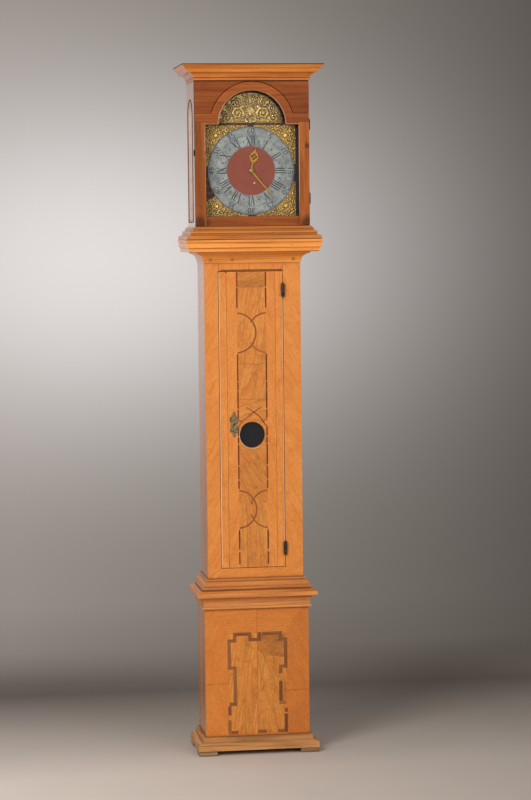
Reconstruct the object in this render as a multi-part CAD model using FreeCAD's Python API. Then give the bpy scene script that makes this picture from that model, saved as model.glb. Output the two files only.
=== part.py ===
import FreeCAD, Part
import math
import os

# Tall case clock with a chain-wound thirty-hour striking movement, in millimetres.
# X runs to the right as the clock is seen, Y runs backwards, Z runs up.
# The origin lies on the floor in the middle of the plan.

V = FreeCAD.Vector

# Case: plan sizes
hood_width = 356.0
waist_width = 301.0
base_width = 328.0
waist_depth = 177.0
hood_lead = 27.0
base_lead = 15.0

# Case: heights, from the floor up
foot_height = 15.5
base_height = 481.5
trunk_height = 1115.0
hood_gap = 0.5
hood_height = 537.5

# Case: boards
front_board = 20.0
trunk_board = 18.0
base_board = 22.0
hood_board = 16.0
back_board = 12.0
floor_board = 15.0
top_board = 12.0
top_board_sink = 2.0

# Feet
foot_width = 57.0
foot_inset = 1.5

# Mouldings: how far each stands out and how tall it is
plinth_reach = 27.3
plinth_rise = 39.5
base_cap_reach = 20.0
base_cap_rise = 41.0
waist_moulding_reach = 39.5
waist_moulding_rise = 57.5
throat_reach = 62.5
throat_rise = 72.0
hood_base_reach = 32.4
hood_base_rise = 40.4
cornice_reach = 41.8
cornice_rise = 48.6

# Moulding profiles: shares of reach and rise, and the bow of the stretch that ends at the point
quarter_round_share = math.tan(math.pi / 8)
plinth_shares = [
    (0, 0), (1.0, 0), (0.975, 0.44), (0.45, 0.57, 0.12), (0.39, 0.60), (0.33, 1.0), (0, 1.0),
]
base_cap_shares = [
    (0, 0.08), (0.30, 0.08), (0.38, 0.13, 0.3), (0.36, 0.25, 0.3), (0.26, 0.27), (0.26, 0.31),
    (0.36, 0.80, -0.22), (0.62, 0.95, -0.2), (0.95, 0.97), (1.0, 1.0), (0, 1.0),
]
waist_moulding_shares = [
    (0, 0), (0.96, 0), (1.0, 0.05, 0.35), (0.93, 0.25, 0.15), (0.66, 0.345, 0.08), (0.50, 0.37), (0.50, 0.42),
    (0.545, 0.435), (0.545, 0.55), (0.44, 0.565), (0.43, 0.61), (0.41, 0.62), (0.23, 0.81, 0.22),
    (0.16, 0.83), (0.16, 0.87), (0.185, 0.885), (0.185, 0.95), (0.07, 0.965), (0.07, 1.0), (0, 1.0),
]
throat_shares = [
    (0, 0), (0.04, 0), (0.04, 0.03), (0.40, 0.385, -0.4142), (0.44, 0.455), (0.78, 0.47), (0.86, 0.50),
    (0.86, 0.65), (0.93, 0.665), (0.93, 0.885), (1.0, 0.90), (1.0, 0.985), (0.98, 1.0), (0, 1.0),
]
hood_base_shares = [
    (0, 0), (0.98, 0), (1.0, 0.04), (1.0, 0.12), (0.86, 0.30, 0.3), (0.80, 0.31), (0.58, 0.47, -0.45),
    (0.62, 0.49), (0.52, 0.66, 0.35), (0.46, 0.67), (0.30, 0.785, -0.45), (0.34, 0.80), (0.27, 0.875, 0.4),
    (0.20, 0.89), (0.20, 0.91), (0.06, 1.0, 0.4), (0, 1.0),
]
cornice_shares = [
    (0, 0), (0.07, 0), (0.07, 0.15), (0.05, 0.165), (0.10, 0.185), (0.28, 0.45, -0.2), (0.30, 0.48),
    (0.56, 0.49), (0.60, 0.53), (0.88, 0.80, -0.2), (0.89, 0.83), (1.0, 0.93), (1.0, 1.0), (0, 1.0),
]
cornice_joint_height = 3.6
cornice_joint_depth = 6.0

# Trunk door and the frame about it
door_left_stile = 42.0
door_right_stile = 55.2
door_foot_rise = 32.0
door_head_drop = 99.5
door_gap = 1.6
door_head_gap = 2.4
door_thickness = 20.0

# Lenticle in the trunk door
lenticle_radius = 41.0
lenticle_rebate = 5.0
lenticle_rebate_depth = 5.0
lenticle_glass_thickness = 3.0
glass_play = 0.3

# Lock, its bolt and the escutcheon
lock_from_stile = 44.0
lock_above_lenticle = 33.0
lock_width = 58.0
lock_height = 62.0
lock_depth = 15.0
lock_wall = 2.0
bolt_height = 12.0
bolt_depth = 7.0
bolt_length = 38.0
bolt_play = 0.3
keyhole_radius = 3.2
keyhole_leg_width = 3.4
keyhole_leg_length = 11.0
escutcheon_width = 26.0
escutcheon_height = 80.0
escutcheon_thickness = 1.2
escutcheon_waist_share = 0.34
escutcheon_shoulder_share = 0.30

# Hinges: knuckles, pins and leaves
trunk_knuckle_radius = 4.5
trunk_hinge_height = 39.0
trunk_hinge_inset = 58.5
trunk_leaf_depth = 17.0
hood_knuckle_radius = 3.0
hood_hinge_height = 31.0
hood_hinge_low = 84.0
hood_hinge_high = 312.0
hood_leaf_width = 11.0
pin_share = 0.36
pin_play = 0.05
leaf_thickness = 1.2
leaf_play = 0.2
knuckle_stand = 0.3
knuckle_gap = 0.3
pin_head_share = 0.7
pin_head_height = 3.0

# Hood door and the glazed openings
hood_door_stile = 33.0
hood_door_gap = 1.0
hood_arch_gap = 2.1
hood_door_back_gap = 0.5
hood_arch_rail = 27.0
hood_arch_bevel = 2.2
hood_shoulder_rail = 33.5
hood_rail_joint = 8.0
opening_drop = 141.3
opening_shoulder = 141.5
opening_arch_radius = 104.0
pane_thickness = 2.5
pane_lap = 5.0
pull_height = 20.0
pull_depth = 10.0
pull_reach = 3.4
pull_rise = 226.0

# Mask behind the hood door
mask_thickness = 11.0
mask_play = 4.0
mask_foot = 34.0

# Side windows of the hood
window_front = 66.0
window_radius = 55.0
window_foot_rise = 56.0
window_spring_rise = 379.0

# Seatboard
seat_rise = 92.5
seat_thickness = 20.0
seat_front = 60.0
seat_back = 178.0
chain_slot_margin = 6.0
rod_slot_half = 20.0
rod_slot_front = 144.0

# Dial
centre_rise = 119.5
dial_depth = 35.0
dial_half = 149.0
dial_arch_radius = 103.0
dial_arch_rise = 141.5
dial_thickness = 2.0
ring_outer = 136.0
ring_inner = 75.5
ring_thickness = 1.8
disc_thickness = 1.0
spandrel_thickness = 1.8
spandrel_margin = 3.0
spandrel_ring_gap = 1.5
spandrel_eye_shares = [(0.80, 0.80, 0.075), (0.90, 0.60, 0.055), (0.60, 0.90, 0.055)]
arch_margin = 4.0
arch_foot = 9.0
arch_eye_radius = 9.0
arch_eye_ring_share = 0.62
arch_eye_count = 5
dial_foot_radius = 3.5
dial_foot_x = 64.0
dial_foot_rise = 48.0
dial_foot_drop = 84.0

# Hands, and where they stand in the photographed pose
minute_length = 101.0
minute_root_width = 6.0
minute_tip_width = 3.0
minute_angle = 140.0
hour_length = 72.0
hour_shank_width = 4.6
hour_tip_width = 7.0
hour_bow_share = 0.61
hour_bow_half_length = 19.0
hour_bow_half_width = 16.0
hour_bow_shares = [
    (-1.0, 0.13), (-0.66, 0.50, 0.35), (-0.34, 0.78, 0.35), (0, 1.0, -0.2), (0.30, 0.74, -0.2), (0.62, 0.46, 0.35),
    (1.0, 0.14, 0.25),
]
bow_hole_radius = 3.9
bow_hole_reach = 6.3
hour_angle = 12.0
hand_thickness = 1.2
hand_collet_radius = 7.5
minute_collet_radius = 6.5
minute_depth = 28.0
hour_depth = 30.6
collet_depth = 2.0

# Movement frame
plate_half = 75.0
plate_height = 192.0
plate_thickness = 3.0
plate_front = 65.0
plate_space = 65.0
pillar_radius = 4.5
pillar_waist_share = 0.6
pillar_low_x = 66.0
pillar_low_rise = 10.0
pillar_high_x = 40.0
pillar_high_drop = 9.0
pivot_radius = 1.5
pivot_play = 0.05
arbor_radius = 2.2

# Wheel work: tooth counts
great_teeth = 56
second_teeth = 56
train_leaves = 7
escape_teeth = 30
motion_teeth = 36
hour_teeth = 72
hour_leaves = 6
hoop_teeth = 48
hoop_leaves = 8
warning_teeth = 40
count_teeth = 78
count_leaves = 8
hammer_pins = 8

# Wheel work: modules, places and thicknesses
great_module = 1.2
second_module = 1.1
hoop_module = 1.1
warning_module = 0.95
count_module = 0.75
great_offset = 36.0
great_drop = 34.5
hoop_bearing = 100.0
warning_bearing = 60.0
fly_bearing = 170.0
count_bearing = 260.0
wheel_thickness = 2.0
great_thickness = 3.0
pinion_length = 11.0
pinion_overlap = 4.0
wheel_rim = 3.4
wheel_hub = 6.5
wheel_arm = 3.2
great_plane = 118.0
second_plane = 80.0
escape_plane = 104.0
hoop_plane = 90.0
warning_plane = 74.0
motion_plane = 52.0
hour_plane = 46.0
count_plane = 139.0

# Tooth forms: addendum and dedendum in modules, half width at tip and root in pitches
wheel_form_shares = (0.95, 1.30, 0.10, 0.29)
leaf_form_shares = (0.85, 1.30, 0.07, 0.15)

# Motion work pipes on the centre stud
stud_radius = 2.0
cannon_radius = 3.6
hour_pipe_radius = 5.4
pipe_play = 0.05
motion_arbor_radius = 3.0

# Chain, sprockets and the weights
chain_plane = 103.0
chain_radius = 2.2
drum_radius = 17.0
drum_play = 0.3
flange_radius = 20.5
flange_thickness = 2.0
flange_gap = 8.0
weight_radius = 23.0
weight_length = 230.0
weight_crown = 8.0
weight_eye = 14.0
going_weight_drop = 510.0
strike_weight_drop = 570.0
bob_weight_radius = 7.0
bob_weight_length = 38.0
bob_weight_eye = 9.0
going_bob_drop = 620.0
strike_bob_drop = 560.0

# Escapement and pendulum
anchor_rise = 52.5
escape_radius = 18.0
escape_root = 14.4
escape_rake_share = 0.32
anchor_band_inner = 21.4
anchor_band_outer = 27.5
anchor_half_angle = 47.0
anchor_thickness = 5.0
pallet_clear = 1.3
pallet_half_angle = 3.4
crutch_depth = 139.5
crutch_thickness = 2.5
crutch_width = 4.0
crutch_length = 66.0
fork_height = 6.0
fork_play = 0.3
fork_prong = 2.2
pendulum_plane = 157.0
pendulum_length = 874.0
rod_radius = 2.4
bob_radius = 46.0
bob_half = 12.0
bob_rim_share = 0.25
rod_tail = 26.0
rod_play = 0.05
nut_radius = 7.0
nut_height = 5.0
nut_drop = 1.0
spring_height = 16.0
spring_width = 9.0
spring_thickness = 0.6
cock_depth = 146.0
cock_half = 18.0
cock_height = 22.0
cock_lift = 4.0
cock_post_radius = 3.0
cock_post_x = 13.0
cock_post_rise = 15.0
cock_block_half = 5.0
cock_block_height = 9.0
cock_block_gap = 0.4

# Striking work
bell_radius = 48.0
bell_height = 38.0
bell_wall = 2.6
bell_waist_share = 0.88
bell_skirt_share = 0.30
bell_shoulder_share = 0.52
bell_plane = 100.0
bell_rise = 19.0
bell_bar_half = 6.0
bell_bar_height = 5.0
bell_post_radius = 3.4
bell_nut_radius = 6.0
bell_nut_height = 5.0
hammer_x = 62.0
hammer_drop = 79.5
hammer_arm_width = 4.0
hammer_arm_depth = 4.0
hammer_head_radius = 6.0
hammer_head_length = 14.0
hammer_rest_gap = 1.2
hammer_tail_depth = 4.0
hammer_tail_plane = 122.5
hammer_pin_ring = 28.0
hammer_pin_radius = 1.2
hammer_pin_length = 6.0
tail_clear = 0.5
fly_half = 14.0
fly_length = 9.0
fly_thickness = 0.8
fly_plane = 78.0
count_disc_radius = 22.0
count_disc_thickness = 2.0
count_notch_depth = 4.0
count_notch_width = 3.0
hours_struck = 12
detent_x = 7.0
detent_drop = 102.0

# Levels and fore-and-aft places worked out from the sizes above
base_foot_z = foot_height
waist_z = base_foot_z + base_height
trunk_top_z = waist_z + trunk_height
hood_z = trunk_top_z + hood_gap
top_z = hood_z + hood_height
seat_z = hood_z + seat_rise
dial_z = seat_z + centre_rise
anchor_z = dial_z + anchor_rise
lenticle_z = anchor_z - pendulum_length
hood_base_z = hood_z + hood_base_rise
cornice_z = top_z - cornice_rise
top_board_z = top_z - top_board_sink - top_board

front_y = -(cornice_reach + hood_lead + waist_depth) / 2
hood_y = front_y + cornice_reach
waist_y = hood_y + hood_lead
base_y = waist_y - base_lead
back_y = waist_y + waist_depth
inner_back_y = back_y - back_board

hood_half = hood_width / 2
waist_half = waist_width / 2
base_half = base_width / 2

door_x0 = -waist_half + door_left_stile + door_gap
door_x1 = waist_half - door_right_stile - door_gap
door_x = (door_x0 + door_x1) / 2
door_z0 = waist_z + waist_moulding_rise + door_foot_rise
door_z1 = trunk_top_z - door_head_drop


def depth(distance):
    """Y of a place the given distance behind the front of the hood."""
    return hood_y + distance


def block(x0, x1, y0, y1, z0, z1):
    """Box between two corners."""
    return Part.makeBox(x1 - x0, y1 - y0, z1 - z0, V(x0, y0, z0))


def mirrored(shape):
    """The same shape on the other side of the clock."""
    return shape.mirror(V(0, 0, 0), V(1, 0, 0))


def pair(shape):
    """A right-hand shape and its left-hand twin."""
    return [shape, mirrored(shape)]


def polar(centre, radius, degrees):
    """Point at a radius and bearing from a centre, seen from the front."""
    angle = math.radians(degrees)
    return (centre[0] + radius * math.cos(angle), centre[1] + radius * math.sin(angle))


def outline(points, place):
    """Closed wire through the points; a third value bows the stretch that ends there."""
    edges = []
    previous = points[-1]
    for point in points:
        start = place(previous[0], previous[1])
        end = place(point[0], point[1])
        if len(point) > 2:
            along = point[0] - previous[0]
            across = point[1] - previous[1]
            middle_u = (previous[0] + point[0] + across * point[2]) / 2
            middle_v = (previous[1] + point[1] - along * point[2]) / 2
            edges.append(Part.Arc(start, place(middle_u, middle_v), end).toShape())
        else:
            edges.append(Part.LineSegment(start, end).toShape())
        previous = point
    return Part.Wire(edges)


def face_of(wires):
    """Face inside the first wire and outside the others."""
    return Part.makeFace(wires, "Part::FaceMakerBullseye")


def round_hole(x, z, radius, y):
    """Circle in the front view."""
    return Part.Wire(Part.makeCircle(radius, V(x, y, z), V(0, 1, 0)))


def sheet(points, y, thickness, holes=()):
    """Plate drawn in the front view, from depth y backwards, with holes given as wires at that depth."""
    outer = outline(points, lambda u, v: V(u, y, v))
    return face_of([outer] + list(holes)).extrude(V(0, thickness, 0))


def turned(x, z, stations):
    """Solid turned about a fore-and-aft axis; stations are (y, radius) from front to back."""
    first = stations[0][0]
    last = stations[-1][0]
    corners = [V(x, first, z)] + [V(x + radius, y, z) for y, radius in stations]
    corners += [V(x, last, z), V(x, first, z)]
    return Part.Face(Part.makePolygon(corners)).revolve(V(x, first, z), V(0, 1, 0), 360)


def rod(x, z, y0, y1, radius):
    """Plain round bar along the depth."""
    return Part.makeCylinder(radius, y1 - y0, V(x, y0, z), V(0, 1, 0))


def upright(x, y, stations):
    """Solid turned about a vertical axis; stations are (z, radius) upwards."""
    first = stations[0][0]
    last = stations[-1][0]
    corners = [V(x, y, first)] + [V(x + radius, y, z) for z, radius in stations]
    corners += [V(x, y, last), V(x, y, first)]
    return Part.Face(Part.makePolygon(corners)).revolve(V(x, y, first), V(0, 0, 1), 360)


def fused(shapes):
    """One body of several shapes that meet."""
    return shapes[0].multiFuse(shapes[1:]).removeSplitter()


# Mouldings run round the front and both sides, mitred at the front corners

def moulding(shares, reach, rise, half, front, z0):
    """Front length and two returns of a moulding, cut to a mitre where they meet."""
    points = [(share[0] * reach, z0 + share[1] * rise) + tuple(share[2:]) for share in shares]
    plan_front = [(-half, front), (-half - reach, front - reach), (half + reach, front - reach), (half, front)]
    plan_side = [(half, front), (half + reach, front - reach), (half + reach, back_y), (half, back_y)]
    across = outline(points, lambda u, v: V(-half - reach, front - u, v))
    beside = outline(points, lambda u, v: V(half + u, front - reach, v))
    long_front = Part.Face(across).extrude(V(2 * (half + reach), 0, 0))
    long_side = Part.Face(beside).extrude(V(0, back_y - front + reach, 0))
    lift = V(0, 0, rise)
    mitre_front = Part.Face(outline(plan_front, lambda u, v: V(u, v, z0))).extrude(lift)
    mitre_side = Part.Face(outline(plan_side, lambda u, v: V(u, v, z0))).extrude(lift)
    return [long_front.common(mitre_front)] + pair(long_side.common(mitre_side))


# Base and plinth

def feet():
    x1 = base_half + plinth_reach - foot_inset
    y0 = base_y - plinth_reach + foot_inset
    front = block(x1 - foot_width, x1, y0, y0 + foot_width, 0, foot_height)
    rear = block(x1 - foot_width, x1, back_y - foot_width, back_y, 0, foot_height)
    return pair(front) + pair(rear)


def bottom_board():
    half = base_half - base_board
    return [block(-half, half, base_y + front_board, inner_back_y, base_foot_z, base_foot_z + floor_board)]


def base_front():
    return [block(-base_half, base_half, base_y, base_y + front_board, base_foot_z, waist_z)]


def base_sides():
    side = block(base_half - base_board, base_half, base_y + front_board, back_y, base_foot_z, waist_z)
    return pair(side)


def plinth():
    return moulding(plinth_shares, plinth_reach, plinth_rise, base_half, base_y, base_foot_z)


def base_cap_moulding():
    z0 = waist_z - base_cap_rise
    return moulding(base_cap_shares, base_cap_reach, base_cap_rise, base_half, base_y, z0)


# Trunk

def waist_moulding():
    return moulding(waist_moulding_shares, waist_moulding_reach, waist_moulding_rise, waist_half, waist_y, waist_z)


def throat_moulding():
    z0 = trunk_top_z - throat_rise
    return moulding(throat_shares, throat_reach, throat_rise, waist_half, waist_y, z0)


def trunk_sides():
    top = seat_z - seat_thickness
    return pair(block(waist_half - trunk_board, waist_half, waist_y + front_board, back_y, waist_z, top))


def trunk_front_frame():
    back = waist_y + front_board
    opening_left = door_x0 - door_gap
    opening_right = door_x1 + door_gap
    left = block(-waist_half, opening_left, waist_y, back, waist_z, trunk_top_z)
    right = block(opening_right, waist_half, waist_y, back, waist_z, trunk_top_z)
    for z0 in trunk_hinge_feet():
        right = right.cut(leaf_recess(z0, 1))
    low = block(opening_left, opening_right, waist_y, back, waist_z, door_z0 - door_gap)
    high = block(opening_left, opening_right, waist_y, back, door_z1 + door_head_gap, trunk_top_z)
    return [left, right, low, high]


def backboard():
    low_half = base_half - base_board
    high_half = waist_half - trunk_board
    low = block(-low_half, low_half, inner_back_y, back_y, base_foot_z, waist_z)
    high = block(-high_half, high_half, inner_back_y, back_y, waist_z, top_board_z - hood_board)
    return [fused([low, high])]


def seatboard():
    y0 = depth(seat_front)
    y1 = depth(seat_back)
    board = block(-waist_half, waist_half, y0, y1, seat_z - seat_thickness, seat_z)
    reach = drum_radius + drum_play + chain_radius + chain_slot_margin
    wide = chain_radius + chain_slot_margin
    slot = block(
        great_offset - reach, great_offset + reach,
        depth(chain_plane) - wide, depth(chain_plane) + wide, seat_z - seat_thickness, seat_z,
    )
    notch = block(-rod_slot_half, rod_slot_half, depth(rod_slot_front), y1, seat_z - seat_thickness, seat_z)
    return [board.cut(slot).cut(mirrored(slot)).cut(notch)]


# Butt hinges: fixed knuckles above and below, the moving one between them

def knuckle(x, y, z0, z1, radius):
    """Drilled barrel of a hinge."""
    pin = radius * pin_share + pin_play
    barrel = Part.makeCylinder(radius, z1 - z0, V(x, y, z0))
    return barrel.cut(Part.makeCylinder(pin, z1 - z0, V(x, y, z0)))


def knuckle_levels(z0, height):
    """Feet and heads of the three knuckles of a hinge that starts at z0."""
    share = height / 3
    return [
        (z0, z0 + share - knuckle_gap / 2),
        (z0 + share + knuckle_gap / 2, z0 + 2 * share - knuckle_gap / 2),
        (z0 + 2 * share + knuckle_gap / 2, z0 + height),
    ]


def hinge_pin(x, y, z0, height, radius):
    """Pin with a round head at each end."""
    inner = radius * pin_share
    head = radius * pin_head_share
    shaft = Part.makeCylinder(inner, height, V(x, y, z0))
    foot = upright(x, y, [(z0 - pin_head_height, inner), (z0, head)])
    crown = upright(x, y, [(z0 + height, head), (z0 + height + pin_head_height, inner)])
    return fused([shaft, foot, crown])


trunk_hinge_x = door_x1 + door_gap / 2
trunk_hinge_y = waist_y - trunk_knuckle_radius - knuckle_stand
hood_hinge_x = hood_half + hood_knuckle_radius + knuckle_stand
hood_hinge_y = depth(front_board - hood_door_back_gap / 2)


def trunk_hinge_feet():
    """Lowest level of each trunk hinge."""
    return [door_z0 + trunk_hinge_inset - trunk_hinge_height / 2, door_z1 - trunk_hinge_inset - trunk_hinge_height / 2]


def leaf_recess(z0, side):
    """Housing for a trunk hinge leaf in the door's edge (side -1) or the stile's edge (side 1)."""
    inner = trunk_hinge_x + side * leaf_play
    outer = inner + side * leaf_thickness
    return block(
        min(inner, outer), max(inner, outer), waist_y, waist_y + trunk_leaf_depth, z0, z0 + trunk_hinge_height
    )


def trunk_leaf(z0, side, levels):
    """Leaf let into the gap, with its knuckles in front of the face."""
    leaf = leaf_recess(z0, side)
    inner = trunk_hinge_x + side * leaf_play
    outer = inner + side * leaf_thickness
    shapes = [leaf]
    for low, high in levels:
        tongue = block(min(inner, outer), max(inner, outer), trunk_hinge_y, waist_y, low, high)
        pin = Part.makeCylinder(
            trunk_knuckle_radius * pin_share + pin_play, high - low, V(trunk_hinge_x, trunk_hinge_y, low)
        )
        shapes.append(tongue.cut(pin))
        shapes.append(knuckle(trunk_hinge_x, trunk_hinge_y, low, high, trunk_knuckle_radius))
    return fused(shapes)


def trunk_hinge_posts():
    shapes = []
    for z0 in trunk_hinge_feet():
        levels = knuckle_levels(z0, trunk_hinge_height)
        shapes.append(trunk_leaf(z0, 1, [levels[0], levels[2]]))
        shapes.append(hinge_pin(trunk_hinge_x, trunk_hinge_y, z0, trunk_hinge_height, trunk_knuckle_radius))
    return shapes


def trunk_door_hinge_leaves():
    return [trunk_leaf(z0, -1, [knuckle_levels(z0, trunk_hinge_height)[1]]) for z0 in trunk_hinge_feet()]


# Trunk door with its lenticle, lock and escutcheon

lock_x = door_x0 + lock_from_stile
lock_z = lenticle_z + lock_above_lenticle
lock_y = waist_y + door_thickness


def keyhole(y0, y1):
    """Round eye over a straight leg, as a cutter."""
    eye = rod(lock_x, lock_z, y0, y1, keyhole_radius)
    leg = block(
        lock_x - keyhole_leg_width / 2, lock_x + keyhole_leg_width / 2,
        y0, y1, lock_z - keyhole_leg_length, lock_z,
    )
    return eye.fuse(leg)


def trunk_door():
    board = block(door_x0, door_x1, waist_y, waist_y + door_thickness, door_z0, door_z1)
    window = rod(door_x, lenticle_z, waist_y, waist_y + door_thickness, lenticle_radius)
    rebate_y = waist_y + door_thickness - lenticle_rebate_depth
    rebate = rod(door_x, lenticle_z, rebate_y, waist_y + door_thickness, lenticle_radius + lenticle_rebate)
    board = board.cut(window).cut(rebate).cut(keyhole(waist_y, waist_y + door_thickness))
    for z0 in trunk_hinge_feet():
        board = board.cut(leaf_recess(z0, -1))
    return [board]


def lenticle_glass():
    y0 = waist_y + door_thickness - lenticle_rebate_depth
    radius = lenticle_radius + lenticle_rebate - glass_play
    return [rod(door_x, lenticle_z, y0, y0 + lenticle_glass_thickness, radius)]


def escutcheon():
    half = escutcheon_width / 2
    rise = escutcheon_height / 2
    waist = half * escutcheon_waist_share
    shoulder = rise * escutcheon_shoulder_share
    upper = (rise + shoulder) / 2
    right = [(waist, -upper), (half, -shoulder, 0.5), (half, shoulder, -0.25), (waist, upper, 0.5)]
    left = [(-waist, upper), (-half, shoulder, 0.5), (-half, -shoulder, -0.25), (-waist, -upper, 0.5)]
    loop = [(0, -rise, 0.25), (waist, -upper, 0.25)] + right[1:] + [(0, rise, 0.25), (-waist, upper, 0.25)] + left[1:]
    points = [(lock_x + point[0], lock_z + point[1]) + tuple(point[2:]) for point in loop]
    y0 = waist_y - escutcheon_thickness
    return [sheet(points, y0, escutcheon_thickness).cut(keyhole(y0, waist_y))]


def bolt_box(x0, x1, play):
    """Space of the bolt, or of its way through the lock case with some play round it."""
    y0 = lock_y + (lock_depth - bolt_depth) / 2
    return block(
        x0, x1, y0 - play, y0 + bolt_depth + play, lock_z - bolt_height / 2 - play, lock_z + bolt_height / 2 + play
    )


def lock_case():
    x0 = door_x0 + lock_wall
    x1 = x0 + lock_width
    z0 = lock_z - lock_height / 2
    case = block(x0, x1, lock_y, lock_y + lock_depth, z0, z0 + lock_height)
    room = block(
        x0 + lock_wall, x1 - lock_wall, lock_y + lock_wall, lock_y + lock_depth - lock_wall,
        z0 + lock_wall, z0 + lock_height - lock_wall,
    )
    way = bolt_box(x0, x0 + 2 * lock_wall, bolt_play)
    return [case.cut(room).cut(way).cut(keyhole(lock_y, lock_y + lock_wall))]


def lock_bolt():
    x0 = door_x0 + lock_wall
    return [bolt_box(x0, x0 + bolt_length, 0)]


# Hood

opening_half = hood_half - hood_door_stile
opening_z0 = dial_z - opening_drop
opening_z1 = dial_z + opening_shoulder
hood_door_z0 = hood_base_z + hood_door_gap
hood_arch_radius = opening_arch_radius + hood_arch_rail
hood_shoulder_z = opening_z1 + hood_shoulder_rail
hood_door_thickness = front_board - hood_door_back_gap


def break_arch(half, z0, shoulder_z, arch_z, radius):
    """Square-shouldered opening with a round arch over its middle."""
    drop = shoulder_z - arch_z
    foot = math.sqrt(radius * radius - drop * drop)
    half_turn = math.pi / 2 - math.asin(drop / radius)
    bow = math.tan(half_turn / 2)
    return [
        (-half, z0), (half, z0), (half, shoulder_z), (foot, shoulder_z),
        (-foot, shoulder_z, bow), (-half, shoulder_z),
    ]


def hood_sides():
    y0 = depth(front_board)
    x0 = hood_half - hood_board
    side = block(x0, hood_half, y0, back_y, hood_z, top_board_z)
    centre_y = depth(window_front + window_radius)
    foot_z = hood_z + window_foot_rise
    spring_z = hood_z + window_spring_rise
    window = outline(
        [
            (centre_y - window_radius, foot_z), (centre_y + window_radius, foot_z),
            (centre_y + window_radius, spring_z), (centre_y - window_radius, spring_z, 1.0),
        ],
        lambda u, v: V(x0, u, v),
    )
    side = side.cut(Part.Face(window).extrude(V(hood_board, 0, 0)))
    right = side
    for z0 in hood_hinge_feet():
        right = right.cut(hood_recess(z0, 1))
    return [right, mirrored(side)]


def hood_side_glasses():
    x0 = hood_half - hood_board - pane_thickness
    centre_y = depth(window_front + window_radius)
    half = window_radius + pane_lap
    z0 = hood_z + window_foot_rise - pane_lap
    z1 = hood_z + window_spring_rise
    points = [
        (centre_y - half, z0), (centre_y + half, z0), (centre_y + half, z1), (centre_y - half, z1, 1.0),
    ]
    pane = Part.Face(outline(points, lambda u, v: V(x0, u, v))).extrude(V(pane_thickness, 0, 0))
    return pair(pane)


def hood_front_rails():
    low = block(-hood_half, hood_half, hood_y, depth(front_board), hood_z, hood_base_z)
    shoulder = hood_shoulder_z + hood_door_gap
    points = break_arch(hood_half, hood_base_z, shoulder, opening_z1, hood_arch_radius + hood_arch_gap)
    door_room = sheet(points, hood_y, front_board)
    head = block(-hood_half, hood_half, hood_y, depth(front_board), hood_base_z, top_board_z)
    joint = block(
        -hood_half, hood_half, hood_y, depth(cornice_joint_depth), cornice_z - cornice_joint_height, cornice_z
    )
    return [low, head.cut(door_room).cut(joint)]


def hood_top_board():
    return [block(-hood_half, hood_half, hood_y, back_y, top_board_z, top_board_z + top_board)]


def cornice():
    return moulding(cornice_shares, cornice_reach, cornice_rise, hood_half, hood_y, cornice_z)


def hood_base_moulding():
    return moulding(hood_base_shares, hood_base_reach, hood_base_rise, hood_half, hood_y, hood_z)


def dial_mask():
    half = hood_half - hood_board
    y0 = depth(front_board)
    z0 = hood_z + mask_foot
    z1 = cornice_z
    inside = break_arch(
        dial_half + mask_play, dial_z - dial_half - mask_play, dial_z + dial_half + mask_play,
        dial_z + dial_arch_rise, dial_arch_radius + mask_play,
    )
    hole = outline(inside, lambda u, v: V(u, y0, v))
    return [sheet([(-half, z0), (half, z0), (half, z1), (-half, z1)], y0, mask_thickness, [hole])]


# Hood door

def door_shell(y0, thickness, lap=0):
    """Outline of the glazed opening as a solid, grown by a lap."""
    points = break_arch(
        opening_half + lap, opening_z0 - lap, opening_z1 + lap, opening_z1, opening_arch_radius + lap
    )
    return sheet(points, y0, thickness)


def pane_room():
    """Rebate for the pane on the back of the hood door."""
    return door_shell(depth(hood_door_thickness - pane_thickness - pane_lap), pane_thickness + pane_lap, pane_lap)


def hood_door_stiles():
    stile = block(opening_half, hood_half, hood_y, depth(hood_door_thickness), hood_door_z0, opening_z1 + hood_rail_joint)
    stile = stile.cut(pane_room()).cut(door_shell(hood_y, hood_door_thickness))
    right = stile
    for z0 in hood_hinge_feet():
        right = right.cut(hood_recess(z0, -1))
    return [right, mirrored(stile)]


def hood_door_rails():
    low = block(-opening_half, opening_half, hood_y, depth(hood_door_thickness), hood_door_z0, opening_z0)
    z0 = opening_z1 + hood_rail_joint
    whole = sheet(
        break_arch(hood_half, opening_z0, hood_shoulder_z, opening_z1, hood_arch_radius), hood_y, hood_door_thickness
    )
    head = whole.cut(block(-hood_half, hood_half, hood_y, depth(hood_door_thickness), opening_z0, opening_z1))
    bevel = Part.makeCone(
        hood_arch_radius, hood_arch_radius - hood_arch_bevel, hood_door_thickness, V(0, hood_y, opening_z1), V(0, 1, 0)
    )
    under = block(-hood_half, hood_half, hood_y, depth(hood_door_thickness), opening_z1, hood_shoulder_z)
    head = head.common(bevel.fuse(under))
    corner = block(opening_half, hood_half, hood_y, depth(hood_door_thickness), opening_z1, z0)
    head = head.cut(corner).cut(mirrored(corner)).cut(door_shell(hood_y, hood_door_thickness)).cut(pane_room())
    low = low.cut(pane_room())
    head = head.cut(hood_recess(hood_hinge_feet()[1], -1))
    return [low, head]


def hood_door_glass():
    y0 = depth(hood_door_thickness - pane_thickness - pane_lap)
    return [door_shell(y0, pane_thickness, pane_lap - glass_play)]


def hood_hinge_feet():
    """Lowest level of each hood door hinge."""
    return [hood_door_z0 + hood_hinge_low - hood_hinge_height / 2, hood_door_z0 + hood_hinge_high - hood_hinge_height / 2]


def hood_recess(z0, side):
    """Housing for a leaf in the door's back (side -1) or the hood side's front edge (side 1)."""
    face = depth(front_board) if side > 0 else depth(hood_door_thickness)
    back = face + side * leaf_thickness
    return block(
        hood_half - hood_leaf_width, hood_half, min(face, back), max(face, back), z0, z0 + hood_hinge_height
    )


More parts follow.
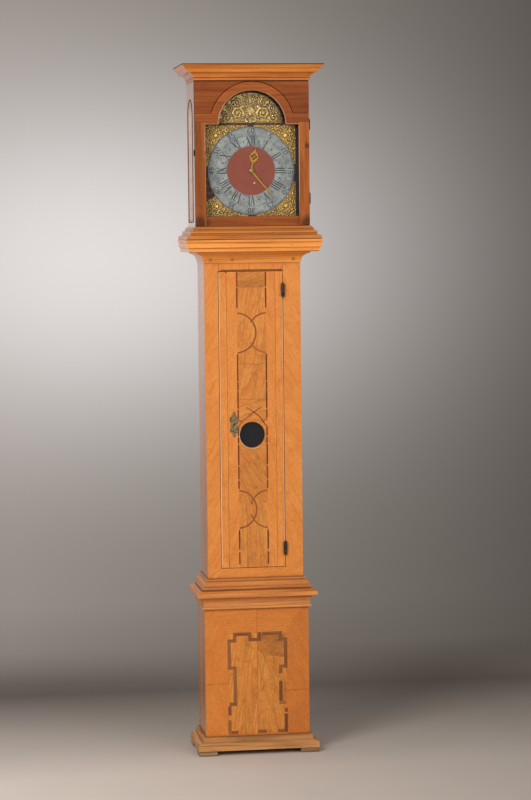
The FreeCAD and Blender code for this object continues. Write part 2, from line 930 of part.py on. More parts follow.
def hood_leaf(z0, side, levels):
    """Leaf screwed into its housing, with its knuckles beside the hood."""
    face = depth(front_board) if side > 0 else depth(hood_door_thickness)
    back = face + side * leaf_thickness
    shapes = [hood_recess(z0, side)]
    for low, high in levels:
        tongue = block(hood_half, hood_hinge_x, min(face, back), max(face, back), low, high)
        pin = Part.makeCylinder(
            hood_knuckle_radius * pin_share + pin_play, high - low, V(hood_hinge_x, hood_hinge_y, low)
        )
        shapes.append(tongue.cut(pin))
        shapes.append(knuckle(hood_hinge_x, hood_hinge_y, low, high, hood_knuckle_radius))
    return fused(shapes)


def hood_hinge_posts():
    shapes = []
    for z0 in hood_hinge_feet():
        levels = knuckle_levels(z0, hood_hinge_height)
        shapes.append(hood_leaf(z0, 1, [levels[0], levels[2]]))
        shapes.append(hinge_pin(hood_hinge_x, hood_hinge_y, z0, hood_hinge_height, hood_knuckle_radius))
    return shapes


def hood_door_hinge_leaves():
    return [hood_leaf(z0, -1, [knuckle_levels(z0, hood_hinge_height)[1]]) for z0 in hood_hinge_feet()]


def hood_door_pull():
    z0 = hood_door_z0 + pull_rise - pull_height / 2
    y0 = depth((hood_door_thickness - pull_depth) / 2)
    points = [(y0, z0), (y0 + pull_depth, z0), (y0 + pull_depth, z0 + pull_height), (y0, z0 + pull_height)]
    plate = Part.Face(outline(points, lambda u, v: V(-hood_half - pull_reach, u, v))).extrude(V(pull_reach, 0, 0))
    corners = [edge for edge in plate.Edges if edge.BoundBox.XLength < pull_reach / 2]
    outer = [edge for edge in corners if edge.BoundBox.XMax < -hood_half - pull_reach / 2]
    return [plate.makeChamfer(pull_reach / 2, outer)]


# Dial

def dial_plate():
    y0 = depth(dial_depth)
    points = break_arch(
        dial_half, dial_z - dial_half, dial_z + dial_half, dial_z + dial_arch_rise, dial_arch_radius
    )
    bore = round_hole(0, dial_z, hour_pipe_radius + drum_play, y0)
    shapes = [sheet(points, y0, dial_thickness, [bore])]
    for x in (-dial_foot_x, dial_foot_x):
        for z in (dial_z - dial_foot_drop, dial_z + dial_foot_rise):
            shapes.append(rod(x, z, y0 + dial_thickness, depth(plate_front), dial_foot_radius))
    return [fused(shapes)]


def chapter_ring():
    y0 = depth(dial_depth) - ring_thickness
    outer = round_hole(0, dial_z, ring_outer, y0)
    inner = round_hole(0, dial_z, ring_inner, y0)
    return [face_of([outer, inner]).extrude(V(0, ring_thickness, 0))]


def dial_centre():
    y0 = depth(dial_depth) - disc_thickness
    outer = round_hole(0, dial_z, ring_inner, y0)
    inner = round_hole(0, dial_z, hour_pipe_radius + drum_play, y0)
    return [face_of([outer, inner]).extrude(V(0, disc_thickness, 0))]


def corner_mounts():
    """Pierced castings that fill the corners outside the chapter ring."""
    y0 = depth(dial_depth) - spandrel_thickness
    edge = dial_half - spandrel_margin
    radius = ring_outer + spandrel_ring_gap
    near = spandrel_margin
    far = math.sqrt(radius * radius - near * near)
    bow = math.tan((math.pi / 2 - 2 * math.asin(near / radius)) / 4)
    shapes = []
    for up in (1, -1):
        eyes = []
        for along, across, size in spandrel_eye_shares:
            eyes.append(round_hole(along * edge, dial_z + up * across * edge, size * edge, y0))
        corner = [(edge, near), (edge, edge), (near, edge), (near, far), (far, near, -bow * up)]
        points = [(point[0], dial_z + up * point[1]) + tuple(point[2:]) for point in corner]
        plate = sheet(points, y0, spandrel_thickness, eyes)
        shapes += pair(plate)
    return shapes


def arch_mount():
    """Pierced casting that fills the arch."""
    y0 = depth(dial_depth) - spandrel_thickness
    radius = dial_arch_radius - arch_margin
    centre_z = dial_z + dial_arch_rise
    foot = math.sqrt(radius * radius - arch_foot * arch_foot)
    bow = math.tan((math.pi / 2 - math.asin(arch_foot / radius)) / 2)
    points = [(-foot, centre_z + arch_foot), (foot, centre_z + arch_foot), (-foot, centre_z + arch_foot, bow)]
    eyes = []
    for index in range(arch_eye_count):
        bearing = 180 * (index + 1) / (arch_eye_count + 1)
        x, z = polar((0, centre_z + arch_foot / 2), radius * arch_eye_ring_share, bearing)
        eyes.append(round_hole(x, z + arch_foot / 2, arch_eye_radius, y0))
    return [sheet(points[1:], y0, spandrel_thickness, eyes)]


def dial_mounts():
    return corner_mounts() + arch_mount()


# Hands and the motion work behind the dial

centre = (0, dial_z)
going_great = (great_offset, dial_z - great_drop)
strike_great = (-great_offset, dial_z - great_drop)
anchor_axis = (0, anchor_z)
escape = (0, anchor_z - escape_radius * math.sqrt(2))
motion_distance = math.hypot(great_offset, great_drop)
motion_module = motion_distance / motion_teeth
hour_module = 2 * motion_distance / (hour_teeth + hour_leaves)


def gear_distance(wheel_count, leaf_count, module):
    """Distance between the arbors of a wheel and its pinion."""
    return module * (wheel_count + leaf_count) / 2


def meeting_point(first, first_radius, second, second_radius):
    """Right-hand point that lies at the two radii from the two centres."""
    across = second[0] - first[0]
    up = second[1] - first[1]
    distance = math.hypot(across, up)
    along = (first_radius ** 2 - second_radius ** 2 + distance ** 2) / (2 * distance)
    aside = math.sqrt(max(first_radius ** 2 - along ** 2, 0))
    return (
        first[0] + (across * along + up * aside) / distance,
        first[1] + (up * along - across * aside) / distance,
    )


def bearing_of(first, second):
    """Bearing from one arbor to another, in radians."""
    return math.atan2(second[1] - first[1], second[0] - first[0])


def mesh_phase(driver, driver_count, driver_phase, driven, driven_count):
    """Bearing of a tooth of the driven wheel that stands in mesh with the driver."""
    bearing = bearing_of(driver, driven)
    lead = (bearing - driver_phase) * driver_count / (2 * math.pi)
    return bearing + math.pi - (0.5 - lead) * 2 * math.pi / driven_count


second = meeting_point(
    going_great, gear_distance(great_teeth, train_leaves, great_module),
    escape, gear_distance(second_teeth, train_leaves, second_module),
)
hoop = polar(strike_great, gear_distance(great_teeth, train_leaves, great_module), hoop_bearing)
warning = polar(hoop, gear_distance(hoop_teeth, hoop_leaves, hoop_module), warning_bearing)
fly_axis = polar(warning, gear_distance(warning_teeth, hoop_leaves, warning_module), fly_bearing)
count_axis = polar(strike_great, gear_distance(count_teeth, count_leaves, count_module), count_bearing)
hammer_axis = (-hammer_x, dial_z - hammer_drop)
detent_axis = (-detent_x, dial_z - detent_drop)


def toothed(axis, y, count, module, phase, form):
    """Closed outline of a wheel's teeth or a pinion's leaves."""
    addendum, dedendum, tip_half, root_half = form
    pitch = 2 * math.pi / count
    tip = module * (count / 2 + addendum)
    root = module * (count / 2 - dedendum)
    corners = []
    for index in range(count):
        middle = phase + index * pitch
        for radius, offset in ((root, -root_half), (tip, -tip_half), (tip, tip_half), (root, root_half)):
            angle = middle + offset * pitch
            corners.append(V(axis[0] + radius * math.cos(angle), y, axis[1] + radius * math.sin(angle)))
    corners.append(corners[0])
    return Part.makePolygon(corners)


def arm_windows(axis, y, rim_radius):
    """The four openings between a wheel's arms."""
    windows = []
    for quarter in range(4):
        corners = []
        for radius, side in ((wheel_hub, 1), (wheel_hub, -1), (rim_radius, -1), (rim_radius, 1)):
            lean = math.asin(wheel_arm / 2 / radius)
            turn = lean if side > 0 else math.pi / 2 - lean
            corners.append((radius, quarter * math.pi / 2 + turn))
        points = [V(axis[0] + r * math.cos(a), y, axis[1] + r * math.sin(a)) for r, a in corners]
        middle = quarter * math.pi / 2 + math.pi / 4
        inner = V(axis[0] + wheel_hub * math.cos(middle), y, axis[1] + wheel_hub * math.sin(middle))
        outer = V(axis[0] + rim_radius * math.cos(middle), y, axis[1] + rim_radius * math.sin(middle))
        windows.append(Part.Wire([
            Part.Arc(points[0], inner, points[1]).toShape(),
            Part.LineSegment(points[1], points[2]).toShape(),
            Part.Arc(points[2], outer, points[3]).toShape(),
            Part.LineSegment(points[3], points[0]).toShape(),
        ]))
    return windows


def wheel(axis, plane, thickness, count, module, phase, bore):
    """Crossed-out brass wheel with a bore for its arbor."""
    y = depth(plane)
    rim_radius = module * (count / 2 - wheel_form_shares[1]) - wheel_rim
    wires = [toothed(axis, y, count, module, phase, wheel_form_shares)]
    wires += arm_windows(axis, y, rim_radius)
    wires.append(round_hole(axis[0], axis[1], bore, y))
    return face_of(wires).extrude(V(0, thickness, 0))


def pinion(axis, plane, length, count, module, phase, bore):
    """Leaved pinion with a bore for its arbor."""
    y = depth(plane)
    wires = [toothed(axis, y, count, module, phase, leaf_form_shares), round_hole(axis[0], axis[1], bore, y)]
    return face_of(wires).extrude(V(0, length, 0))


plate_back = plate_front + plate_thickness
rear_plate_front = plate_back + plate_space
rear_plate_back = rear_plate_front + plate_thickness
shoulder_play = 0.4


def arbor(axis, radius):
    """Arbor between the plates with a pivot at each end."""
    return turned(axis[0], axis[1], [
        (depth(plate_front), pivot_radius), (depth(plate_back + shoulder_play), pivot_radius),
        (depth(plate_back + shoulder_play), radius), (depth(rear_plate_front - shoulder_play), radius),
        (depth(rear_plate_front - shoulder_play), pivot_radius), (depth(rear_plate_back), pivot_radius),
    ])


def geared_arbor(axis, parts, radius=arbor_radius):
    """An arbor with its wheel and pinion, as one riveted piece."""
    return fused([arbor(axis, radius)] + parts)


great_phase = 0
strike_phase = 0
second_phase = mesh_phase(going_great, great_teeth, great_phase, second, train_leaves)
escape_phase = mesh_phase(second, second_teeth, second_phase, escape, train_leaves)
cannon_phase = mesh_phase(going_great, motion_teeth, great_phase, centre, motion_teeth)
hour_phase = mesh_phase(going_great, hour_leaves, great_phase, centre, hour_teeth)
hoop_phase = mesh_phase(strike_great, great_teeth, strike_phase, hoop, train_leaves)
warning_phase = mesh_phase(hoop, hoop_teeth, hoop_phase, warning, hoop_leaves)
fly_phase = mesh_phase(warning, warning_teeth, warning_phase, fly_axis, hoop_leaves)
count_phase = mesh_phase(strike_great, count_leaves, strike_phase, count_axis, count_teeth)


def sprocket(axis):
    """Chain drum between two flanges."""
    half = flange_gap / 2
    front = depth(chain_plane - half - flange_thickness)
    rear = depth(chain_plane + half + flange_thickness)
    drum = rod(axis[0], axis[1], front, rear, drum_radius)
    near = rod(axis[0], axis[1], front, front + flange_thickness, flange_radius)
    far = rod(axis[0], axis[1], rear - flange_thickness, rear, flange_radius)
    return drum.multiFuse([near, far])


def great_arbor(axis, front, rear):
    """Thick arbor of a great wheel, reaching out of the plates where front or rear say so."""
    return turned(axis[0], axis[1], [
        (depth(front), motion_arbor_radius), (depth(plate_back + shoulder_play), motion_arbor_radius),
        (depth(plate_back + shoulder_play), wheel_rim), (depth(rear_plate_front - shoulder_play), wheel_rim),
        (depth(rear_plate_front - shoulder_play), motion_arbor_radius), (depth(rear), motion_arbor_radius),
    ])


def great_wheel():
    shapes = [
        great_arbor(going_great, motion_plane, rear_plate_back),
        wheel(going_great, great_plane, great_thickness, great_teeth, great_module, great_phase, wheel_rim),
        sprocket(going_great),
        wheel(going_great, motion_plane, wheel_thickness, motion_teeth, motion_module, great_phase, motion_arbor_radius),
    ]
    front = hour_plane - pinion_overlap
    leaves = toothed(going_great, depth(front), hour_leaves, hour_module, great_phase, leaf_form_shares)
    shapes.append(Part.Face(leaves).extrude(V(0, motion_plane - front, 0)))
    return [fused(shapes)]


def second_wheel():
    plane = great_plane + great_thickness / 2 - pinion_length / 2
    return [geared_arbor(second, [
        pinion(second, plane, pinion_length, train_leaves, great_module, second_phase, arbor_radius),
        wheel(second, second_plane, wheel_thickness, second_teeth, second_module, second_phase, arbor_radius),
    ])]


def escape_wheel():
    y = depth(escape_plane)
    pitch = 2 * math.pi / escape_teeth
    corners = []
    for index in range(escape_teeth):
        angle = escape_phase + index * pitch
        for radius, turn in ((escape_root, 0), (escape_radius, -escape_rake_share * pitch)):
            at = angle + turn
            corners.append(V(escape[0] + radius * math.cos(at), y, escape[1] + radius * math.sin(at)))
    corners.append(corners[0])
    wires = [Part.makePolygon(corners)] + arm_windows(escape, y, escape_root - wheel_rim / 2)
    wires.append(round_hole(escape[0], escape[1], arbor_radius, y))
    rim = face_of(wires).extrude(V(0, wheel_thickness, 0))
    plane = second_plane + wheel_thickness / 2 - pinion_length / 2
    leaves = pinion(escape, plane, pinion_length, train_leaves, second_module, escape_phase, arbor_radius)
    return [geared_arbor(escape, [rim, leaves])]


def anchor():
    middle = escape_plane + wheel_thickness / 2
    y0 = depth(middle - anchor_thickness / 2)
    reach = anchor_half_angle
    outer = [polar(escape, anchor_band_outer, angle) for angle in (90 - reach, 90 + reach)]
    inner = [polar(escape, anchor_band_inner, angle) for angle in (90 + reach, 90 - reach)]
    bow = math.tan(math.radians(reach) / 2)
    band = sheet([outer[0], outer[1] + (bow,), inner[0], inner[1] + (-bow,)], y0, anchor_thickness)
    shapes = [band]
    tip = escape_radius + pallet_clear
    for side in (-1, 1):
        at = 90 + side * (reach - pallet_half_angle)
        corners = [
            polar(escape, anchor_band_inner + pallet_clear, at - pallet_half_angle),
            polar(escape, anchor_band_inner + pallet_clear, at + pallet_half_angle),
            polar(escape, tip, at + side * pallet_half_angle),
        ]
        shapes.append(sheet(corners, y0, anchor_thickness))
    staff = turned(0, anchor_z, [
        (depth(plate_front), pivot_radius), (depth(plate_back + shoulder_play), pivot_radius),
        (depth(plate_back + shoulder_play), arbor_radius), (depth(cock_depth - shoulder_play), arbor_radius),
        (depth(cock_depth - shoulder_play), pivot_radius),
        (depth(cock_depth + plate_thickness - shoulder_play), pivot_radius),
    ])
    shapes.append(staff)
    crutch_y = depth(crutch_depth)
    half = crutch_width / 2
    foot_z = anchor_z - crutch_length
    shapes.append(block(-half, half, crutch_y, crutch_y + crutch_thickness, foot_z, anchor_z))
    inner_half = rod_radius + fork_play
    rear = depth(pendulum_plane + rod_radius)
    neck_rear = depth(pendulum_plane - rod_radius) - fork_play
    neck_half = inner_half + fork_prong
    shapes.append(block(-neck_half, neck_half, crutch_y, neck_rear, foot_z, foot_z + fork_height))
    for side in (-1, 1):
        near = side * inner_half
        far = side * neck_half
        shapes.append(block(min(near, far), max(near, far), crutch_y, rear, foot_z, foot_z + fork_height))
    return [fused(shapes)]


def hand_point(along, aside, degrees):
    """Place on a hand in the front view, turned clockwise from twelve."""
    angle = math.radians(degrees)
    x = along * math.sin(angle) + aside * math.cos(angle)
    z = along * math.cos(angle) - aside * math.sin(angle)
    return (x, dial_z + z)


def pipe(front, rear, outer, inner):
    """Tube on the centre line of the dial."""
    tube = rod(0, dial_z, depth(front), depth(rear), outer)
    return tube.cut(rod(0, dial_z, depth(front), depth(rear), inner))


def minute_hand():
    y0 = depth(minute_depth)
    half_root = minute_root_width / 2
    half_tip = minute_tip_width / 2
    points = [
        hand_point(0, -half_root, minute_angle), hand_point(minute_length - minute_tip_width, -half_tip, minute_angle),
        hand_point(minute_length, 0, minute_angle),
        hand_point(minute_length - minute_tip_width, half_tip, minute_angle), hand_point(0, half_root, minute_angle),
    ]
    bore = stud_radius + pipe_play
    blade = sheet(points, y0, hand_thickness)
    collet = rod(0, dial_z, y0 - collet_depth, y0 + hand_thickness, minute_collet_radius)
    eye = rod(0, dial_z, y0 - collet_depth, y0 + hand_thickness, bore)
    front = minute_depth + hand_thickness
    hand = blade.fuse(collet).cut(eye)
    tube = pipe(front, motion_plane, cannon_radius, bore)
    gear = wheel(centre, motion_plane, wheel_thickness, motion_teeth, motion_module, cannon_phase, bore)
    return [hand, fused([tube, gear])]


def hour_bow(y0):
    """Pierced bow of the hour hand: a lozenge with eared sides, cut away in four round holes."""
    bow_at = hour_length * hour_bow_share

    def place(share, side, bow):
        x, z = hand_point(bow_at + share[0] * hour_bow_half_length, side * share[1] * hour_bow_half_width, hour_angle)
        return (x, z) + bow

    up = [place(share, 1, tuple(share[2:])) for share in hour_bow_shares]
    following = [()] + [tuple(share[2:]) for share in reversed(hour_bow_shares)]
    down = [place(share, -1, bow) for share, bow in zip(reversed(hour_bow_shares), following)]
    holes = []
    for along, aside in ((1, 0), (-1, 0), (0, 1), (0, -1)):
        x, z = hand_point(bow_at + along * bow_hole_reach, aside * bow_hole_reach, hour_angle)
        holes.append(round_hole(x, z, bow_hole_radius, y0))
    return sheet(up + down, y0, hand_thickness, holes)


def hour_hand():
    y0 = depth(hour_depth)
    bow_at = hour_length * hour_bow_share
    half = hour_shank_width / 2
    shank_end = bow_at - hour_bow_half_length + half
    shank = sheet([
        hand_point(0, -half, hour_angle), hand_point(shank_end, -half, hour_angle),
        hand_point(shank_end, half, hour_angle), hand_point(0, half, hour_angle),
    ], y0, hand_thickness)
    tip_start = bow_at + hour_bow_half_length - half
    tip = sheet([
        hand_point(tip_start, -hour_tip_width / 2, hour_angle), hand_point(hour_length, 0, hour_angle),
        hand_point(tip_start, hour_tip_width / 2, hour_angle),
    ], y0, hand_thickness)
    bore = cannon_radius + pipe_play
    boss = rod(0, dial_z, y0, y0 + hand_thickness, hand_collet_radius)
    hand = shank.multiFuse([tip, hour_bow(y0), boss]).cut(rod(0, dial_z, y0, y0 + hand_thickness, bore))
    tube = pipe(hour_depth + hand_thickness, hour_plane, hour_pipe_radius, bore)
    gear = wheel(centre, hour_plane, wheel_thickness, hour_teeth, hour_module, hour_phase, bore)
    return [hand, fused([tube, gear])]


# Striking train

def strike_great_wheel():
    front_end = plate_front
    rear_end = count_plane + pinion_overlap
    shapes = [
        great_arbor(strike_great, front_end, rear_plate_back),
        wheel(strike_great, great_plane, great_thickness, great_teeth, great_module, strike_phase, wheel_rim),
        sprocket(strike_great),
    ]
    leaves = toothed(strike_great, depth(rear_plate_back), count_leaves, count_module, strike_phase, leaf_form_shares)
    shapes.append(Part.Face(leaves).extrude(V(0, rear_end - rear_plate_back, 0)))
    pin_front = depth(great_plane + great_thickness)
    tail_bearing = math.degrees(bearing_of(strike_great, hammer_axis))
    for index in range(hammer_pins):
        x, z = polar(strike_great, hammer_pin_ring, tail_bearing + 360 * (index + 0.5) / hammer_pins)
        shapes.append(rod(x, z, pin_front, pin_front + hammer_pin_length, hammer_pin_radius))
    return [fused(shapes)]


def hoop_wheel():
    plane = great_plane + great_thickness / 2 - pinion_length / 2
    return [geared_arbor(hoop, [
        pinion(hoop, plane, pinion_length, train_leaves, great_module, hoop_phase, arbor_radius),
        wheel(hoop, hoop_plane, wheel_thickness, hoop_teeth, hoop_module, hoop_phase, arbor_radius),
    ])]


def warning_wheel():
    plane = hoop_plane + wheel_thickness / 2 - pinion_length / 2
    return [geared_arbor(warning, [
        pinion(warning, plane, pinion_length, hoop_leaves, hoop_module, warning_phase, arbor_radius),
        wheel(warning, warning_plane, wheel_thickness, warning_teeth, warning_module, warning_phase, arbor_radius),
    ])]


def fly():
    plane = warning_plane - pinion_overlap / 2
    length = fly_plane - plane
    leaves = pinion(fly_axis, plane, length, hoop_leaves, warning_module, fly_phase, pivot_radius)
    x, z = fly_axis
    y0 = depth(fly_plane)
    half = fly_thickness / 2
    vane = block(x - fly_half, x + fly_half, y0, y0 + fly_length, z - half, z + half)
    return [geared_arbor(fly_axis, [leaves, vane], pivot_radius)]


def count_wheel():
    """Wheel that turns once in twelve hours; its notches stand one, two, three and more blows apart."""
    bore = stud_radius + pipe_play
    gear = wheel(count_axis, count_plane, wheel_thickness, count_teeth, count_module, count_phase, bore)
    y0 = depth(count_plane + wheel_thickness)
    disc = rod(count_axis[0], count_axis[1], y0, y0 + count_disc_thickness, count_disc_radius)
    disc = disc.cut(rod(count_axis[0], count_axis[1], y0, y0 + count_disc_thickness, bore))
    blows = 0
    notches = []
    for hour in range(1, hours_struck + 1):
        blows += hour
        notch = block(
            count_disc_radius - count_notch_depth, count_disc_radius + count_notch_depth,
            y0, y0 + count_disc_thickness, -count_notch_width / 2, count_notch_width / 2,
        )
        notch.rotate(V(0, y0, 0), V(0, 1, 0), 360 * blows / count_teeth)
        notch.translate(V(count_axis[0], 0, count_axis[1]))
        notches.append(notch)
    for notch in notches:
        disc = disc.cut(notch)
    return [fused([gear, disc])]


def count_detent():
    """Lever whose nib drops into the count wheel's notches and lets the train run when it is lifted."""
    x, z = detent_axis
    y0 = depth(count_plane + wheel_thickness + shoulder_play)
    edge = count_axis[0] + count_disc_radius + tail_clear
    half = hammer_arm_width / 2
    arm = sheet([
        (x - half, z), (x + half, z), (edge + hammer_arm_width, count_axis[1] + half),
        (edge, count_axis[1] + half), (edge, count_axis[1] - half),
    ], y0, count_disc_thickness)
    staff = turned(x, z, [
        (depth(plate_front), pivot_radius), (depth(plate_back + shoulder_play), pivot_radius),
        (depth(plate_back + shoulder_play), arbor_radius), (y0 + count_disc_thickness, arbor_radius),
    ])
    return [fused([staff, arm])]


def hammer():
    x, z = hammer_axis
    arm_y = depth(bell_plane) - hammer_arm_depth / 2
    rim_z = seat_z + plate_height + bell_rise
    head_z = rim_z + hammer_head_radius
    half = hammer_arm_width / 2
    face_x = -bell_radius + bell_wall + hammer_rest_gap + (bell_radius - bell_radius * bell_waist_share)
    stem_x = face_x + hammer_head_length / 2
    turn_z = rim_z - hammer_head_radius
    arm = sheet([
        (x - half, z), (x + half, z), (x + half, turn_z - half), (stem_x + half, turn_z - half),
        (stem_x + half, head_z), (stem_x - half, head_z), (stem_x - half, turn_z + half), (x - half, turn_z + half),
    ], arm_y, hammer_arm_depth)
    head = Part.makeCylinder(hammer_head_radius, hammer_head_length, V(face_x, depth(bell_plane), head_z), V(1, 0, 0))
    tail_length = math.hypot(x - strike_great[0], z - strike_great[1])
    tail_length -= hammer_pin_ring + hammer_pin_radius + tail_clear
    bearing = bearing_of(hammer_axis, strike_great)
    side = V(-math.sin(bearing), 0, math.cos(bearing)) * half
    along = V(math.cos(bearing), 0, math.sin(bearing)) * tail_length
    root = V(x, depth(hammer_tail_plane), z)
    tail = Part.Face(Part.makePolygon([root - side, root - side + along, root + along, root + side, root - side]))
    return [geared_arbor(hammer_axis, [arm, head, tail.extrude(V(0, hammer_tail_depth, 0))])]


def bell():
    rim_z = seat_z + plate_height + bell_rise
    bar_z = seat_z + plate_height
    crown_z = rim_z + bell_height
    y = depth(bell_plane)
    skirt = bell_radius * bell_waist_share
    skirt_z = rim_z + bell_height * bell_skirt_share
    shoulder = bell_height * bell_shoulder_share
    crown = skirt - shoulder
    shoulder_z = skirt_z + shoulder
    profile = [
        (bell_radius, rim_z), (skirt, skirt_z), (crown, shoulder_z, quarter_round_share),
        (bell_post_radius, crown_z), (bell_post_radius, crown_z - bell_wall), (crown, shoulder_z - bell_wall),
        (skirt - bell_wall, skirt_z, -quarter_round_share), (bell_radius - bell_wall, rim_z),
    ]
    cup = Part.Face(outline(profile, lambda u, v: V(u, y, v))).revolve(V(0, y, rim_z), V(0, 0, 1), 360)
    post = upright(0, y, [(bar_z + bell_bar_height, bell_post_radius), (crown_z + bell_nut_height, bell_post_radius)])
    bar = block(
        -bell_bar_half, bell_bar_half, depth(plate_front), depth(rear_plate_back), bar_z, bar_z + bell_bar_height
    )
    nut = upright(0, y, [(crown_z, bell_nut_radius), (crown_z + bell_nut_height, bell_post_radius)])
    return [cup, fused([bar, post, nut])]


# Movement frame

def movement_frame():
    z0 = seat_z
    z1 = seat_z + plate_height
    small = pivot_radius + pivot_play
    large = motion_arbor_radius + pivot_play
    staff = arbor_radius + pivot_play
    small_axes = [second, escape, hoop, warning, fly_axis, hammer_axis]
    plates = []
    for plane in (plate_front, rear_plate_front):
        y = depth(plane)
        holes = [round_hole(axis[0], axis[1], small, y) for axis in small_axes]
        holes += [round_hole(axis[0], axis[1], large, y) for axis in (going_great, strike_great)]
        anchor_hole = small if plane == plate_front else staff
        holes.append(round_hole(0, anchor_z, anchor_hole, y))
        holes.append(round_hole(detent_axis[0], detent_axis[1], anchor_hole, y))
        corners = [(-plate_half, z0), (plate_half, z0), (plate_half, z1), (-plate_half, z1)]
        plates.append(sheet(corners, y, plate_thickness, holes))
    stud = rod(0, dial_z, depth(minute_depth - collet_depth), depth(plate_front), stud_radius)
    plates[0] = plates[0].fuse(stud)
    count_stud = rod(
        count_axis[0], count_axis[1], depth(rear_plate_back),
        depth(count_plane + wheel_thickness + count_disc_thickness), stud_radius,
    )
    plates[1] = plates[1].fuse(count_stud)
    pillars = []
    for x, z in ((pillar_low_x, z0 + pillar_low_rise), (pillar_high_x, z1 - pillar_high_drop)):
        middle = (plate_back + rear_plate_front) / 2
        waist = pillar_radius * pillar_waist_share
        pillars += pair(turned(x, z, [
            (depth(plate_back), pillar_radius), (depth(plate_back + pillar_radius), pillar_radius),
            (depth(plate_back + 2 * pillar_radius), waist), (depth(middle - pillar_radius), waist),
            (depth(middle), pillar_radius), (depth(middle + pillar_radius), waist),
            (depth(rear_plate_front - 2 * pillar_radius), waist),
            (depth(rear_plate_front - pillar_radius), pillar_radius), (depth(rear_plate_front), pillar_radius),
        ]))
    return plates + pillars


def back_cock():
    y0 = depth(cock_depth)
    z0 = anchor_z - cock_lift
    bridge = sheet(
        [(-cock_half, z0), (cock_half, z0), (cock_half, z0 + cock_height + cock_lift), (-cock_half, z0 + cock_height + cock_lift)],
        y0, plate_thickness, [round_hole(0, anchor_z, pivot_radius + pivot_play, y0)],
    )
    shapes = [bridge]
    for x in (-cock_post_x, cock_post_x):
        shapes.append(rod(x, anchor_z + cock_post_rise - cock_lift, depth(rear_plate_back), y0, cock_post_radius))
    block_z = anchor_z + cock_block_gap
    shapes.append(block(
        -cock_block_half, cock_block_half, y0 + plate_thickness, depth(pendulum_plane + spring_width / 2),
        block_z, block_z + cock_block_height,
    ))
    return [fused(shapes)]


# Pendulum, chains and weights

def pendulum_rod():
    spring = block(
        -spring_thickness / 2, spring_thickness / 2,
        depth(pendulum_plane - spring_width / 2), depth(pendulum_plane + spring_width / 2),
        anchor_z - spring_height, anchor_z,
    )
    y = depth(pendulum_plane)
    foot_z = lenticle_z - bob_radius - rod_tail
    shaft = upright(0, y, [(foot_z, rod_radius), (anchor_z - spring_height, rod_radius)])
    return [fused([spring, shaft])]


def pendulum_bob():
    y = depth(pendulum_plane)
    rim = bob_half * bob_rim_share
    bow = math.tan(math.atan((bob_half - rim) / bob_radius) / 2)
    points = [(0, -bob_half), (bob_radius, -rim, bow), (bob_radius, rim), (0, bob_half, bow)]
    profile = Part.Face(outline(points, lambda u, v: V(u, y + v, lenticle_z)))
    lens = profile.revolve(V(0, y, lenticle_z), V(0, 1, 0), 360)
    way = upright(0, y, [(lenticle_z - bob_radius, rod_radius + rod_play), (lenticle_z + bob_radius, rod_radius + rod_play)])
    nut_z = lenticle_z - bob_radius - nut_drop
    nut = upright(0, y, [(nut_z - nut_height, nut_radius), (nut_z, nut_radius)])
    nut = nut.cut(upright(0, y, [(nut_z - nut_height, rod_radius + rod_play), (nut_z, rod_radius + rod_play)]))
    return [lens.cut(way), nut]


strand_offset = drum_radius + drum_play + chain_radius
drum_z = going_great[1]
going_weight_x = great_offset - strand_offset
going_bob_x = great_offset + strand_offset
strike_weight_x = -great_offset - strand_offset
strike_bob_x = -great_offset + strand_offset


def chain(weight_x, weight_drop, bob_x, bob_drop):
    """Chain over one drum, from the weight's hook to the counterweight's eye."""
    y = depth(chain_plane)
    loaded = Part.makeCylinder(chain_radius, weight_drop, V(weight_x, y, drum_z - weight_drop))
    free = Part.makeCylinder(chain_radius, bob_drop, V(bob_x, y, drum_z - bob_drop))
    section = Part.Face(Part.Wire(Part.makeCircle(chain_radius, V(weight_x, y, drum_z), V(0, 0, 1))))
    over = section.revolve(V((weight_x + bob_x) / 2, y, drum_z), V(0, 1, 0), 180)
    return [loaded.multiFuse([free, over])]


def going_chain():
    return chain(going_weight_x, going_weight_drop, going_bob_x, going_bob_drop)


def strike_chain():
    return chain(strike_weight_x, strike_weight_drop, strike_bob_x, strike_bob_drop)


def weight(x, drop):
    """Cast weight under its hook, hung from the end of the chain."""
    top = drum_z - drop
    shoulder = top - weight_eye
    return upright(x, depth(chain_plane), [
        (shoulder - weight_length, weight_radius), (shoulder - weight_crown, weight_radius),
        (shoulder, weight_radius - weight_crown), (shoulder, chain_radius), (top, chain_radius),
    ])


def counterweight(x, drop):
    """Small lead on the free strand."""
    top = drum_z - drop
    shoulder = top - bob_weight_eye
    return upright(x, depth(chain_plane), [
        (shoulder - bob_weight_length, bob_weight_radius), (shoulder, bob_weight_radius),
        (shoulder, chain_radius), (top, chain_radius),
    ])


def going_weight():
    return [weight(going_weight_x, going_weight_drop)]


def strike_weight():
    return [weight(strike_weight_x, strike_weight_drop)]


def going_counterweight():
    return [counterweight(going_bob_x, going_bob_drop)]


def strike_counterweight():
    return [counterweight(strike_bob_x, strike_bob_drop)]


pieces = [
    feet, bottom_board, plinth, base_front, base_sides, base_cap_moulding, waist_moulding, trunk_sides,
    trunk_front_frame, throat_moulding, backboard, seatboard, trunk_hinge_posts,
    trunk_door, lenticle_glass, escutcheon, lock_case, trunk_door_hinge_leaves, lock_bolt,
    hood_sides, hood_side_glasses, hood_front_rails, hood_top_board, cornice, hood_base_moulding, dial_mask,
    hood_hinge_posts, hood_door_stiles, hood_door_rails, hood_door_glass, hood_door_hinge_leaves, hood_door_pull,
    dial_plate, chapter_ring, dial_centre, dial_mounts,
    movement_frame, back_cock, bell, great_wheel, second_wheel, escape_wheel, anchor,
    minute_hand, hour_hand, strike_great_wheel, hoop_wheel, warning_wheel, fly, count_wheel, count_detent, hammer,
    pendulum_rod, pendulum_bob, going_chain, strike_chain, going_weight, strike_weight,
    going_counterweight, strike_counterweight,
]

